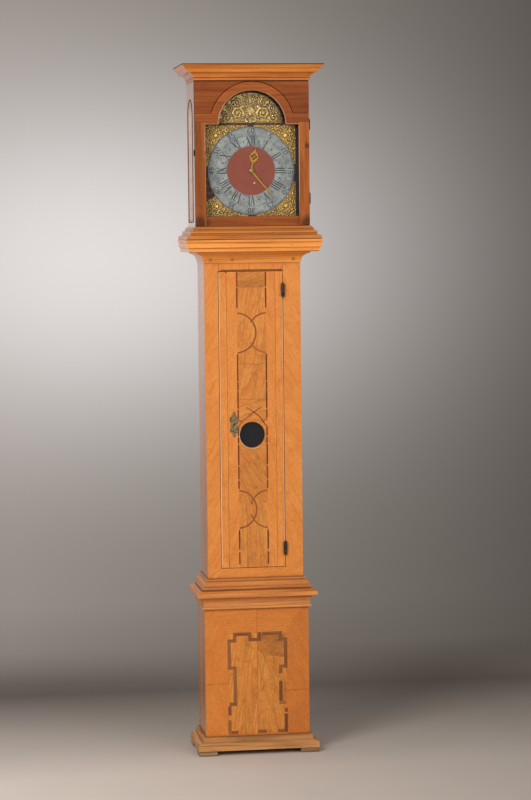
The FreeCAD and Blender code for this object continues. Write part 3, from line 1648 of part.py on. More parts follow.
os.makedirs("parts", exist_ok=True)
for piece in pieces:
    solids = piece()
    shape = solids[0] if len(solids) == 1 else Part.makeCompound(solids)
    shape.exportStep("parts/" + piece.__name__ + ".step")
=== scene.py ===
"""Looks of a tall case clock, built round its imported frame.

Every size is in metres. X runs to the right as the clock is seen, Y runs backwards and Z runs up.
"""

import logging
import math
from dataclasses import dataclass, field, fields, replace
from enum import Enum
from typing import Any, Iterable, Sequence

import bpy
import numpy as np
from mathutils import Matrix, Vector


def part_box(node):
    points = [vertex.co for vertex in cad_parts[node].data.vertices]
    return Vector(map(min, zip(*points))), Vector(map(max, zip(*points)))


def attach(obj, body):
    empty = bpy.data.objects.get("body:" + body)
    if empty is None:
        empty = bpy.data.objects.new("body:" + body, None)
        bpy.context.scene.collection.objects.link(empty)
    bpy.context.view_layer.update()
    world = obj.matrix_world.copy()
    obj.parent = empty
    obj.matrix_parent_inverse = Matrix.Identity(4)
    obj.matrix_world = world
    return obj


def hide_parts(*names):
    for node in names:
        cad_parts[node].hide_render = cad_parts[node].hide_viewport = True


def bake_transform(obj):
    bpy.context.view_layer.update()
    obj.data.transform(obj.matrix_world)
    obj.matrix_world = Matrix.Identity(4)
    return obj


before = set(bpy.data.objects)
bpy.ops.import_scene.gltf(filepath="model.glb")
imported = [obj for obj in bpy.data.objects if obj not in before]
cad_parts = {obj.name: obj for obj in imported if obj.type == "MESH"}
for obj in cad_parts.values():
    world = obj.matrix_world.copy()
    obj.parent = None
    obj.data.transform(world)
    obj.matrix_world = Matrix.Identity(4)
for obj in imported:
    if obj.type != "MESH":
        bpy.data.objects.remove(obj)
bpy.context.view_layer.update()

log = logging.getLogger("tall_case_clock")
Colour = tuple[float, float, float]
Shade = Colour | int
Place = Sequence[float]
Socket = bpy.types.NodeSocket
Material = bpy.types.Material
Array = np.ndarray
MM = 0.001
LET_IN = 0.0004
TURN = 2 * math.pi


def srgb(screen: int) -> Colour:
    """Linear colour, as the renderer counts it, of a screen colour's six hexadecimal digits."""
    shares = (channel / 255 for channel in screen.to_bytes(3, "big"))
    return tuple(s / 12.92 if s <= 0.04045 else ((s + 0.055) / 1.055) ** 2.4 for s in shares)


# Meshes


@dataclass
class Shell:
    """Points and faces of a piece while it is being made."""

    points: Array  # One row of x, y and z for each point
    faces: list[tuple[int, ...]]  # Corner numbers of each face, counted so that the face looks outwards
    # For each point, its place along and across the grain, for wood laid as veneer
    grain: Array | None = None
    tone: Array | None = None  # For each point, a number that the finish turns into lighter or darker


def joined(shells: Sequence[Shell]) -> Shell:
    """Puts several shells into one.

    Args:
        shells: The shells, all with or all without grain and tone.

    Returns:
        One shell that holds them all.
    """
    starts = np.cumsum([0] + [len(shell.points) for shell in shells[:-1]])
    faces = [tuple(int(corner + start) for corner in face) for shell, start in zip(shells,
        starts) for face in shell.faces]
    grain = np.vstack([shell.grain for shell in shells]) if shells[0].grain is not None else None
    tone = np.concatenate([shell.tone for shell in shells]) if shells[0].tone is not None else None
    return Shell(np.vstack([shell.points for shell in shells]), faces, grain, tone)


def grid_faces(rows: int, columns: int, closed_rows: bool = False,
        closed_columns: bool = False) -> list[tuple[int, ...]]:
    """Four-cornered faces of a grid of points stored row by row.

    Args:
        rows: Points along the first direction.
        columns: Points along the second direction.
        closed_rows: Whether the last row joins the first.
        closed_columns: Whether the last column joins the first.

    Returns:
        The faces.
    """
    row = np.arange(rows if closed_rows else rows - 1)
    column = np.arange(columns if closed_columns else columns - 1)
    a, b = np.meshgrid(row, column, indexing="ij")
    next_a = (a + 1) % rows
    next_b = (b + 1) % columns
    corners = np.stack([a * columns + b, a * columns + next_b, next_a * columns + next_b,
        next_a * columns + b], -1)
    return [tuple(face) for face in corners.reshape(-1, 4).tolist()]


def prism(outline: Array, front: float, back: float) -> Shell:
    """Flat plate that faces the front.

    Args:
        outline: Corners as x and z, anticlockwise as seen from the front.
        front: Y of the face.
        back: Y of the back.

    Returns:
        A closed shell.
    """
    count = len(outline)
    face = np.column_stack([outline[:, 0], np.full(count, front), outline[:, 1]])
    rear = np.column_stack([outline[:, 0], np.full(count, back), outline[:, 1]])
    ring = np.arange(count)
    after = (ring + 1) % count
    walls = np.column_stack([ring, ring + count, after + count, after]).tolist()
    faces = [tuple(ring.tolist()), tuple((ring[::-1] + count).tolist())] + [tuple(wall) for wall in walls]
    return Shell(np.vstack([face, rear]), faces)


def ribbon(path: Array, width: float, front: float, back: float) -> Shell:
    """Flat strip of even width along a path on a front face.

    The two edges stand half a width to either side of each point, square to the path's run there.

    Args:
        path: Points as x and z.
        width: Width of the strip.
        front: Y of its face.
        back: Y of its back.

    Returns:
        A closed shell, with its grain along the path.
    """
    run = np.gradient(path, axis=0)
    run /= np.linalg.norm(run, axis=1)[:, None]
    side = np.column_stack([-run[:, 1], run[:, 0]]) * width / 2
    shell = prism(np.vstack([path - side, (path + side)[::-1]]), front, back)
    along = np.concatenate([[0], np.cumsum(np.linalg.norm(np.diff(path, axis=0), axis=1))])
    once = np.vstack([
        np.column_stack([along, np.zeros(len(path))]), np.column_stack([along[::-1],
            np.full(len(path), width)]),
    ])
    shell.grain = np.vstack([once, once])
    return shell


def arc(centre: Place, radius: float, start: float, end: float, steps: int) -> Array:
    """Points on a round arc: the centre plus the radius times the cosine and sine of each bearing."""
    bearing = np.radians(np.linspace(start, end, steps))
    return np.column_stack([centre[0] + radius * np.cos(bearing), centre[1] + radius * np.sin(bearing)])


def spun(profile: Array, foot: Place, axis: Place, steps: int = 24) -> Shell:
    """Turned shape: each profile point goes round the axis at its own radius and height.

    Args:
        profile: Radius and height of each point, from the foot to the top.
        foot: Where height 0 lies.
        axis: Direction of the height.
        steps: Points round the axis.

    Returns:
        A shell closed round the axis and at both ends.
    """
    up = np.array(axis, float) / np.linalg.norm(axis)
    aside = np.cross(up, [0.0, 0.0, 1.0] if abs(up[2]) < 0.9 else [1.0, 0.0, 0.0])
    aside /= np.linalg.norm(aside)
    across = np.cross(up, aside)
    turn = np.linspace(0, TURN, steps, endpoint=False)
    ring = np.cos(turn)[:, None] * aside + np.sin(turn)[:, None] * across
    points = np.array(foot) + profile[:, 0][:, None, None] * ring[None] + profile[:, 1][:, None, None] * up
    last = (len(profile) - 1) * steps
    ends = [tuple(range(steps - 1, -1, -1)), tuple(range(last, last + steps))]
    return Shell(points.reshape(-1, 3), grid_faces(len(profile), steps, closed_columns=True) + ends)


def cap(radius: float, wall: float, dome: float, foot: Place, axis: Place,
        steps: int) -> Shell:
    """Round head: a straight wall under a dome."""
    swing = np.linspace(0, 1.4, 6)
    crown = np.column_stack([radius * np.cos(swing), wall + dome * np.sin(swing)])
    return spun(np.vstack([[radius, 0], crown]) * MM, foot, axis, steps)


def wire_ring(wide: float, tall: float, wire: float, around: int, section: int) -> Shell:
    """Ring of wire round an oval: wide times the cosine and tall times the sine of the turn.

    Args:
        wide: Half width of the middle line in millimetres.
        tall: Half its height in millimetres.
        wire: Radius of the wire in millimetres.
        around: Points round the ring.
        section: Points round the wire.

    Returns:
        A closed shell at the origin.
    """
    turn = np.linspace(0, TURN, around, endpoint=False)
    swing = np.linspace(0, TURN, section, endpoint=False)[None, :, None]
    out = np.column_stack([np.cos(turn), np.zeros(around), np.sin(turn)])[:, None, :]
    points = out * (wide, 0, tall) + wire * (np.cos(swing) * out + np.sin(swing) * np.array([0.0, 1.0, 0.0]))
    faces = [face[::-1] for face in grid_faces(around, section, True, True)]
    return Shell(points.reshape(-1, 3) * MM, faces)


def facing_out(shell: Shell) -> Shell:
    """Turns a closed shell's faces outwards.

    The volume under the faces, summed as a third of each corner fan's triple product, is positive when
    they already look out.

    Args:
        shell: A closed shell.

    Returns:
        The same shell, its faces turned round if they looked inwards.
    """
    fans = np.array([(face[0], face[k], face[k + 1]) for face in shell.faces for k in range(1, len(face) - 1)])
    a, b, c = (shell.points[fans[:, k]] - shell.points[0] for k in range(3))
    if np.einsum("ij,ij->", a, np.cross(b, c)) < 0:
        shell.faces = [face[::-1] for face in shell.faces]
    return shell


def backed(points: Array, rows: int, columns: int, back: float) -> Shell:
    """Closes a grid of points on a front face with walls round its border and a flat back.

    Args:
        points: The grid's points, row by row.
        rows: Its rows.
        columns: Its columns.
        back: Y of the back.

    Returns:
        A closed shell.
    """
    across, down = np.arange(columns - 1), np.arange(rows - 1)
    loop = np.concatenate([
        across, down * columns + columns - 1, rows * columns - 1 - across, (rows - 1 - down) * columns,
    ])
    rear = points[loop].copy()
    rear[:, 1] = back
    behind = np.arange(len(loop)) + len(points)
    walls = np.column_stack([np.roll(loop, -1), loop, behind, np.roll(behind, -1)]).tolist()
    faces = grid_faces(rows, columns) + [tuple(wall) for wall in walls] + [tuple(behind[::-1].tolist())]
    return facing_out(Shell(np.vstack([points, rear]), faces))


def carried(path: Array, profile: Array, face: float) -> Shell:
    """Moulding carried along a path on a front face, mitred at the corners.

    At each corner the profile is set off along the sum of the two runs' normals over one plus their product.

    Args:
        path: Corners as x and z, clockwise as seen from the front.
        profile: Offset outwards and rise off the face of each point of its closed outline.
        face: Y of the face.

    Returns:
        A closed shell.
    """
    run = np.diff(path, axis=0)
    run /= np.linalg.norm(run, axis=1)[:, None]
    normal = np.column_stack([-run[:, 1], run[:, 0]])
    before, after = np.vstack([normal[:1], normal]), np.vstack([normal, normal[-1:]])
    mitre = (before + after) / (1 + (before * after).sum(1))[:, None]
    flat = path[:, None, :] + profile[None, :, :1] * mitre[:, None, :]
    rise = np.broadcast_to(face - profile[None, :, 1], flat.shape[:2])
    points = np.stack([flat[..., 0], rise, flat[..., 1]], -1).reshape(-1, 3)
    last = len(points) - len(profile)
    ends = [tuple(range(len(profile) - 1, -1, -1)), tuple(range(last, len(points)))]
    return facing_out(Shell(points, grid_faces(len(path), len(profile), False, True) + ends))


def placed(profile: Shell, centres: Iterable[Place]) -> Shell:
    """Copies a shell made at the origin to each centre."""
    return joined([Shell(profile.points + np.array(centre), profile.faces) for centre in centres])


# Finishes


class Net:
    """Nodes of one material."""

    def __init__(self, name: str) -> None:
        """Starts an empty material.

        Args:
            name: The material's name.
        """
        self.material = bpy.data.materials.new(name)
        self.material.use_nodes = True
        self.tree = self.material.node_tree
        self.tree.nodes.clear()

    def add(self, kind: str, inputs: dict[Any, Any] | None = None, **settings: Any) -> bpy.types.Node:
        """Adds a node.

        Args:
            kind: Node type without the ShaderNode prefix.
            inputs: A value or an output socket for each named or numbered input.
            **settings: Properties of the node.

        Returns:
            The node.
        """
        node = self.tree.nodes.new("ShaderNode" + kind)
        for key, value in settings.items():
            setattr(node, key, value)
        for key, value in (inputs or {}).items():
            if isinstance(value, Socket):
                self.tree.links.new(value, node.inputs[key])
            else:
                node.inputs[key].default_value = value
        return node

    def math(self, operation: str, first: Any, second: Any = 0.0, clamp: bool = False) -> Socket:
        """Output of a sum on two numbers."""
        return self.add("Math", {0: first, 1: second}, operation=operation, use_clamp=clamp).outputs[0]

    def mix(self, share: Any, first: Any, second: Any, blend: str = "MIX") -> Socket:
        """Output that blends two colours by a share from 0 to 1."""
        pair = [value if isinstance(value, Socket) else (*value, 1.0) for value in (first, second)]
        node = self.add("Mix", {0: share, 6: pair[0], 7: pair[1]}, data_type="RGBA", blend_type=blend)
        return node.outputs[2]

    def spread(self, value: Any, low: float, high: float, to_low: float = 0.0, to_high: float = 1.0) -> Socket:
        """Output that carries a number from one range to another and stops at the ends."""
        inputs = {"Value": value, "From Min": low, "From Max": high, "To Min": to_low, "To Max": to_high}
        return self.add("MapRange", inputs, clamp=True).outputs[0]

    def layer(self, under: Any, over: Any, *band: Any) -> Socket:
        """Output that lays a colour over another where a number, spread as spread() does, is high."""
        return self.mix(self.spread(*band), under, over)

    def layers(self, colour: Any, rows: Iterable[Sequence[Any]]) -> Socket:
        """Output that lays several colours over one, each as layer() does."""
        for row in rows:
            colour = self.layer(colour, *row)
        return colour

    def axes(self) -> Sequence[Socket]:
        """Outputs of the place's x, y and z."""
        return self.add("SeparateXYZ", {0: self.place()}).outputs

    def tone(self) -> Socket:
        """Output of the tone kept with the piece's points."""
        return self.add("Attribute", attribute_name="tone", attribute_type="GEOMETRY").outputs["Fac"]

    def far(self, aside: Any, along: Any) -> Socket:
        """Output of the root of the sum of two squares."""
        squares = [self.math("POWER", part, 2.0) for part in (aside, along)]
        return self.math("SQRT", self.math("ADD", *squares))

    def noise(self, vector: Any, scale: float, detail: float = 3.0, rough: float = 0.55,
            warp: float = 0.0) -> Socket:
        """Output of cloudy noise at a scale in repeats a metre."""
        inputs = {"Vector": vector, "Scale": scale, "Detail": detail, "Roughness": rough, "Distortion": warp}
        return self.add("TexNoise", inputs).outputs[0]

    def drawn(self, vector: Any, shares: Place, shift: Place, *noise: float) -> Socket:
        """Output of noise with its own repeats a metre along each axis."""
        return self.noise(self.stretch(vector, shares, shift), 1.0, *noise)

    def stretch(self, vector: Any, shares: Place, shift: Place = (0, 0, 0)) -> Socket:
        """Output of a place scaled along each axis and moved."""
        return self.add("Mapping", {"Vector": vector, "Scale": shares, "Location": shift}).outputs[0]

    def place(self) -> Socket:
        """Output of the place on the clock."""
        return self.add("TexCoord").outputs["Object"]

    def finish(self, inputs: dict[str, Any], height: Any = None, depth: float = 0.0) -> Material:
        """Closes the material with a principled surface.

        Args:
            inputs: Inputs of the surface.
            height: Output that carries relief from 0 to 1, if any.
            depth: How deep that relief is.

        Returns:
            The material.
        """
        if height is not None:
            bump = self.add("Bump", {"Strength": 1.0, "Distance": depth, "Height": height})
            inputs = {**inputs, "Normal": bump.outputs[0]}
        surface = self.add("BsdfPrincipled", inputs)
        self.add("OutputMaterial", {"Surface": surface.outputs[0]})
        return self.material


class Run(Enum):
    """Which way the grain of a wooden piece runs."""

    UP = "up"
    ACROSS = "across"
    LEAF = "leaf"


@dataclass(frozen=True)
class Finish:
    """Finish of a piece."""

    name: str  # Name of the finish

    def __post_init__(self) -> None:
        """Turns screen colours into linear ones."""
        for part in fields(self):
            if part.type == Shade and isinstance(getattr(self, part.name), int):
                object.__setattr__(self, part.name, srgb(getattr(self, part.name)))


@dataclass(frozen=True)
class Wood(Finish):
    """Waxed or bare wood."""

    pale: Shade  # Colour of the lightest streaks
    body: Shade  # Main colour
    deep: Shade  # Colour of the darkest streaks
    run: Run = Run.UP  # Which way the grain runs
    figure: float = 0.7  # Strength of the broad shading
    streak: float = 0.5  # Strength of the fine streaks
    rings: float = 0.22  # Strength of the growth rings
    clouds: float = 0.0  # Strength of the dark burr clouds
    crown: float = 0.0  # Level above which the wood is black with dust, or zero
    mottle: float = 0.0  # Strength of the redder patches
    gloss: float = 0.42  # Roughness of the surface
    coat: float = 0.15  # Weight of the polish over it
    grime: float = 0.75  # Strength of the soiling and painted shade that darken corners and recesses
    edges: float = 0.0  # How dark the faces that look sideways are: painted shade where they turn from the light, and darker end grain
    stains: tuple[tuple[float, float, float], ...] = ()  # Dark marks as x, z and radius
    shift: float = 0.0  # Moves the pattern so that no two finishes match

    def run_vector(self, net: Net) -> tuple[Socket, Any]:
        """Place on the piece, with its first part along the grain.

        Args:
            net: The material's nodes.

        Returns:
            Output of the place, and output that is 1 on faces that look sideways.
        """
        if self.run is Run.LEAF:
            grain = net.add("UVMap", uv_map="grain").outputs[0]
            return net.stretch(grain, (1, 1, 1), (self.shift, 0, 0)), None
        parts = net.axes()
        normal = net.add("SeparateXYZ", {0: net.add("NewGeometry").outputs["True Normal"]}).outputs
        side = net.math("GREATER_THAN", net.math("ABSOLUTE", normal[0]), 0.05)
        level = net.add("Mix", {0: side, 2: parts[0], 3: parts[1]}, data_type="FLOAT").outputs[0]
        through = net.math("SUBTRACT", net.math("ADD", parts[0], parts[1]), level)
        if self.run is Run.UP:
            order = {0: parts[2], 1: level, 2: through}
        else:
            order = {0: level, 1: parts[2], 2: through}
        place = net.stretch(net.add("CombineXYZ", order).outputs[0], (1, 1, 1), (self.shift, self.shift, 0))
        return place, side

    def make(self) -> Material:
        """Builds the material.

        Broad shading comes from noise drawn out along the grain, growth rings from the contours of a second
        such noise, fibres, flecks and pores from finer noise, and soiling with painted shade from how closed in
        a place is.

        Returns:
            The material.
        """
        net = Net(self.name)
        vector, side = self.run_vector(net)
        broad = net.drawn(vector, (1.8, 19, 19), (0, 0, 0), 3, 0.6, 0.5)
        rings = net.drawn(vector, (1.1, 9, 9), (5, 2, 8), 2, 0.5, 0.3)
        rings = net.math("PINGPONG", net.math("MULTIPLY", rings, 14.0), 0.5)
        bands = net.drawn(vector, (3.5, 150, 150), (0, 0, 0), 4, 0.65, 0.3)
        fibre = net.drawn(vector, (28, 950, 950), (0, 0, 0), 2, 0.6)
        flecks = net.drawn(vector, (55, 270, 270), (1, 4, 9), 2, 0.6)
        pores = net.drawn(vector, (140, 2600, 2600), (3, 7, 1), 1, 0.5)
        dark = tuple(0.45 * part for part in self.deep)
        colour = net.layer(self.body, self.pale, broad, 0.50, 0.66, 0.0, self.figure)
        colour = net.layer(colour, self.deep, broad, 0.34, 0.50, 0.7 * self.figure, 0.0)
        if self.run is Run.LEAF:
            tone = net.tone()
            colour = net.layers(colour, (
                (self.deep, tone, -1.0, 0.0, 1.0, 0.0),
                (self.pale, tone, 0.0, 1.0),
            ))
        if self.mottle:
            red = (0.90 * self.body[0], 0.74 * self.body[1], 0.66 * self.body[2])
            patch = net.drawn(vector, (13, 24, 24), (4, 1, 7), 4, 0.7, 0.8)
            colour = net.layer(colour, red, patch, 0.42, 0.66, 0.0, 1.3 * self.mottle)
            patch = net.drawn(vector, (90, 210, 210), (6, 3, 2), 3, 0.7)
            colour = net.layers(colour, (
                (self.deep, patch, 0.50, 0.70, 0.0, 0.36 * self.mottle),
                (self.pale, patch, 0.34, 0.48, 0.4 * self.mottle, 0.0),
            ))
        if self.clouds:
            cloud = net.drawn(vector, (16, 30, 30), (2, 6, 4), 4, 0.62, 1.6)
            colour = net.layer(colour, self.deep, cloud, 0.50, 0.70, 0.0, self.clouds)
        colour = net.layers(colour, (
            (self.deep, rings, 0.0, 0.2, self.rings, 0.0),
            (self.deep, bands, 0.50, 0.70, 0.0, self.streak),
            (self.deep, fibre, 0.52, 0.75, 0.0, 0.4 * self.streak),
            (dark, flecks, 0.64, 0.74, 0.0, 0.55),
        ))
        pore = net.spread(pores, 0.66, 0.74, 0.0, 0.45)
        colour = net.mix(pore, colour, dark)
        if self.stains:
            colour = self.stained(net, colour, broad)
        coat: Any = self.coat
        if self.crown:
            level = net.axes()[2]
            dust = net.math("ADD", level, net.math("MULTIPLY", broad, 0.0015))
            colour = net.layer(colour, srgb(0x181310), dust, self.crown, self.crown + 0.0012)
            coat = net.spread(dust, self.crown, self.crown + 0.0012, self.coat, 0.0)
        # Painted shade and darker end grain: the faces that look sideways are darkened.
        if self.edges:
            colour = net.mix(net.math("MULTIPLY", side, self.edges), colour,
                tuple(0.2 * part for part in self.deep))
        # Soiling and painted shade: the colour darkens where ambient occlusion finds the place closed in.
        closed = net.add("AmbientOcclusion", {"Distance": 0.009}, samples=8).outputs["AO"]
        grime_and_shade_share = net.spread(closed, 0.40, 0.94, self.grime, 0.0)
        colour = net.mix(grime_and_shade_share, colour, tuple(0.12 * part for part in self.deep))
        rough = net.spread(net.noise(vector, 60, 3), 0.3, 0.7, self.gloss - 0.07, self.gloss + 0.10)
        if self.crown:
            rough = net.math("MAXIMUM", rough, net.spread(dust, self.crown, self.crown + 0.0012, 0.0, 0.9))
        height = net.math("SUBTRACT", net.math("MULTIPLY", fibre, 0.5), pore)
        inputs = {
            "Base Color": colour, "Roughness": rough, "Specular IOR Level": 0.22, "Coat Weight": coat,
            "Coat Roughness": 0.14,
        }
        return net.finish(inputs, height, 0.00012)

    def stained(self, net: Net, colour: Any, cloud: Any) -> Socket:
        """Darkens the wood round each stain.

        Args:
            net: The material's nodes.
            colour: Colour so far.
            cloud: Noise that breaks up the stains' edges.

        Returns:
            Output of the colour.
        """
        parts = net.axes()
        for x, z, radius in self.stains:
            far = net.far(net.math("SUBTRACT", parts[0], x), net.math("SUBTRACT", parts[2], z))
            ragged = net.math("ADD", far, net.math("MULTIPLY", net.math("SUBTRACT", cloud, 0.5), radius))
            mark = net.spread(ragged, radius * 0.35, radius, 0.75, 0.0)
            colour = net.mix(mark, colour, tuple(0.35 * part for part in self.deep))
        return colour


@dataclass(frozen=True)
class Metal(Finish):
    """Metal with tarnish in patches and fine scratches."""

    bright: Shade  # Clean colour
    dull: Shade  # Tarnished colour
    rough: float = 0.35  # Roughness where clean
    tarnish: float = 0.4  # Share of the surface that is dull, 0 to 1
    metallic: float = 1.0  # How metallic it is
    grain: float = 120.0  # Repeats a metre of the tarnish
    pits: float = 0.00008  # Depth of the surface's roughness

    def make(self) -> Material:
        """Builds the material: two noises choose between the clean and the dull colour."""
        net = Net(self.name)
        place = net.place()
        patches = net.noise(place, self.grain, 4, 0.6, 0.4)
        specks = net.noise(place, self.grain * 9, 3, 0.6)
        cloud = net.math("ADD", net.math("MULTIPLY", patches, 0.75), net.math("MULTIPLY", specks, 0.25))
        share = net.spread(cloud, 0.62 - 0.32 * self.tarnish, 0.70 - 0.22 * self.tarnish)
        closed = net.add("AmbientOcclusion", {"Distance": 0.003}, samples=8).outputs["AO"]
        share = net.math("MAXIMUM", share, net.spread(closed, 0.4, 0.9, 0.8, 0.0))
        colour = net.mix(share, self.bright, self.dull)
        rough = net.math("MULTIPLY_ADD", share, 0.22)
        rough.node.inputs[2].default_value = self.rough
        inputs = {"Base Color": colour, "Roughness": rough, "Metallic": self.metallic}
        return net.finish(inputs, specks, self.pits)


@dataclass(frozen=True)
class Silvering(Finish):
    """Silvered brass of the chapter ring, brushed round its centre and gone grey-blue."""

    pale: Shade  # Colour of the best kept silver
    body: Shade  # Main colour
    spot: Shade  # Colour of the tarnish
    centre: tuple[float, float]  # X and z of the ring's centre

    def make(self) -> Material:
        """Builds the material: noise along circles gives the brushing, cloudy noise the spots."""
        net = Net(self.name)
        place = net.place()
        parts = net.axes()
        aside = net.math("SUBTRACT", parts[0], self.centre[0])
        along = net.math("SUBTRACT", parts[2], self.centre[1])
        far = net.far(aside, along)
        bearing = net.math("ARCTAN2", aside, along)
        polar = net.add("CombineXYZ", {0: net.math("MULTIPLY", far, 1800.0),
            1: net.math("MULTIPLY", bearing, 3.0)})
        brushed = net.noise(polar.outputs[0], 1.0, 2, 0.6)
        cloud = net.noise(place, 38, 4, 0.62, 0.5)
        mottle = net.noise(place, 210, 4, 0.7, 0.4)
        specks = net.noise(place, 900, 3, 0.6)
        colour = net.layer(self.body, self.pale, cloud, 0.38, 0.62)
        colour = net.layers(colour, (
            (self.spot, mottle, 0.46, 0.72, 0.0, 0.55),
            (self.spot, brushed, 0.45, 0.75, 0.0, 0.25),
            (self.spot, specks, 0.60, 0.72, 0.0, 0.5),
        ))
        edge = net.math("MULTIPLY", net.spread(far, 0.128, 0.136), 0.5)
        colour = net.mix(edge, colour, self.spot)
        rough = net.spread(cloud, 0.3, 0.7, 0.42, 0.58)
        inputs = {"Base Color": colour, "Roughness": rough, "Metallic": 0.15, "Specular IOR Level": 0.3}
        return net.finish(inputs, brushed, 0.00004)


@dataclass(frozen=True)
class Gilding(Finish):
    """Fire-gilt casting: painted highlight on its heights, painted shade on its slopes and round them, dark red
    paint in its depths.
    """

    high: Shade  # Colour of the raised parts
    middle: Shade  # Colour of the slopes
    low: Shade  # Colour of the ground

    def make(self) -> Material:
        """Builds the material: the relief, kept as tone, chooses the colour and how metallic it is, painting
        light and shade over it.
        """
        net = Net(self.name)
        tone = net.tone()
        speck = net.noise(net.place(), 1300, 3, 0.6)
        level = net.math("ADD", tone, net.math("MULTIPLY", net.math("SUBTRACT", speck, 0.5), 0.35))
        # Painted light and shade: dark in the outlines, darker on the slopes, brightest on the crests.
        colour = net.layer(self.low, self.middle, level, 0.05, 0.22)
        colour = net.layer(colour, self.high, level, 0.22, 0.62)
        metallic = net.spread(level, 0.05, 0.25, 0.0, 0.85)
        rough = net.spread(level, 0.1, 0.7, 0.6, 0.34)
        return net.finish({"Base Color": colour, "Roughness": rough, "Metallic": metallic}, speck, 0.0001)


@dataclass(frozen=True)
class Pane(Finish):
    """Old sheet glass."""

    tint: Shade  # Colour of the glass
    body: float  # How much of what lies behind it hides, 0 to 1
    rough: float = 0.03  # Roughness of its surface
    film: float = 0.0  # How fast its pale haze of dust and painted reflection thickens when seen at a slant

    def make(self) -> Material:
        """Builds the material: smears of dust make the pane a little less clear in places, and a pale haze of
        dust and painted reflection thickens at a slant.
        """
        net = Net(self.name)
        smear = net.noise(net.stretch(net.place(), (1, 1, 0.3)), 14, 4, 0.6, 0.8)
        alpha = net.spread(smear, 0.45, 0.8, self.body, min(1.0, 1.8 * self.body))
        # A pale haze that thickens at a slant: dust, and a painted reflection of the bright studio.
        if self.film:
            slant = net.add("Fresnel", {"IOR": 1.5}).outputs[0]
            film = net.math("MULTIPLY", net.math("SUBTRACT", slant, 0.04), self.film)
            alpha = net.math("MAXIMUM", alpha, film)
        ripple = net.noise(net.place(), 9, 2)
        inputs = {"Base Color": (*self.tint, 1.0), "Roughness": self.rough, "Alpha": alpha,
            "Coat Weight": 1.0 if self.film else 0.0}
        return net.finish(inputs, ripple, 0.0006)


@dataclass(frozen=True)
class Paint(Finish):
    """Matt painted or matted ground with faint clouds."""

    body: Shade  # Main colour
    worn: Shade  # Colour where it is rubbed
    rough: float = 0.7  # Roughness
    tooth: float = 0.0001  # Depth of its stipple
    wear: float = 0.4  # Share that is rubbed, 0 to 1

    def make(self) -> Material:
        """Builds the material: cloudy noise for rubbing and fine noise for the stipple."""
        net = Net(self.name)
        cloud = net.noise(net.place(), 45, 4, 0.6)
        stipple = net.noise(net.place(), 1500, 2, 0.6)
        colour = net.layer(self.body, self.worn, cloud, 0.40, 0.70, 0.0, self.wear)
        colour = net.layer(colour, tuple(0.5 * part for part in self.body), stipple, 0.5, 0.75, 0.0, 0.35)
        return net.finish({"Base Color": colour, "Roughness": self.rough}, stipple, self.tooth)


DIAL_CENTRE = (0.0, 1.8245)
honey_pale, honey, honey_deep = 0xF0A456, 0xE28E40, 0x9E501C

VENEER = Wood("veneer", honey_pale, honey, honey_deep, Run.LEAF, figure=0.18, streak=0.26, rings=0.03,
    clouds=0.14, mottle=0.62)
PANEL = Wood("figured_panel", 0xECA04E, 0xDC8C3E, 0x704018, Run.LEAF, figure=0.35, streak=0.3, rings=0.22,
    clouds=0.36, mottle=0.6, shift=0.7)
BASE_VENEER = replace(VENEER, name="base_veneer", pale=0xEEA04E, body=0xDC8637)
BASE_PANEL = replace(PANEL, name="base_panel", pale=0xF4A850, body=0xE2903D, shift=0.3)
CORE = Wood("veneered_board", honey_pale, honey, honey_deep, figure=0.5, streak=0.5)
SIDE = Wood("side_boards", 0xD88E4E, 0xC47638, 0x7C3C18, streak=0.5, gloss=0.3, coat=0.75, shift=0.37)
MOULDING = Wood("mouldings", 0xEA9A48, 0xDA8032, 0x803C12, Run.ACROSS, figure=0.45, streak=0.5, rings=0.1,
    gloss=0.36, coat=0.45, grime=0.95, shift=0.81)
CORNICE = replace(MOULDING, name="cornice", crown=2.1475)
HOOD_FOOT = replace(MOULDING, name="hood_foot", pale=0xDA9244, body=0xCA782F)
LOW_MOULDING = Wood("low_mouldings", 0xEAA058, 0xD4823C, 0x743A18, Run.ACROSS, figure=0.5, streak=0.55,
    rings=0.1, gloss=0.36, coat=0.45, grime=1.0, shift=0.33)
COVE = Wood("throat_cove", 0xFCAE56, 0xF49B42, 0x9A4A18, Run.ACROSS, figure=0.45, streak=0.5, rings=0.1,
    gloss=0.36, coat=0.45, grime=0.5, shift=0.19)
HOOD_STILE = Wood("hood_stiles", 0xC4722E, 0xA2541A, 0x54260A, streak=0.5, coat=0.0, edges=0.85,
    stains=((-0.168, 1.662, 0.03), (0.170, 1.662, 0.03), (0.172, 1.9, 0.012)), shift=0.13)
HOOD_RAIL = Wood("hood_rails", 0xA4581E, 0x864010, 0x4C200A, Run.ACROSS, figure=0.5, streak=0.5, coat=0.0,
    edges=0.85, stains=((-0.165, 1.660, 0.035), (0.168, 1.660, 0.035)), shift=0.57)
DOOR_RAIL = replace(HOOD_RAIL, name="hood_door_rails", pale=0xBA6A2A, body=0x9C501A)
HOOD_SIDE = Wood("hood_sides", 0xCC8858, 0xB67042, 0x743E20, streak=0.5, gloss=0.26, coat=1.0, shift=0.29)
PLINTH = Wood("plinth_and_feet", 0xE4AE76, 0xCE9054, 0x764A2A, Run.ACROSS, streak=0.7, gloss=0.55, grime=0.85,
    shift=0.43)
FOOT = Wood("block_feet", 0xC49E72, 0xA88056, 0x644830, Run.ACROSS, streak=0.7, gloss=0.6, shift=0.11)
CARCASE = Wood("carcase_boards", 0x967450, 0x785638, 0x462E1C, streak=0.7, gloss=0.7, coat=0.0, grime=0.4,
    shift=0.9)
STRINGING = Wood("stringing", 0x964820, 0x783216, 0x3C180C, Run.LEAF, figure=0.5, streak=0.5, rings=0.0)
ROUND = Wood("half_rounds", 0xBA6832, 0xA05224, 0x642E14, Run.LEAF, figure=0.5, streak=0.4, rings=0.0)
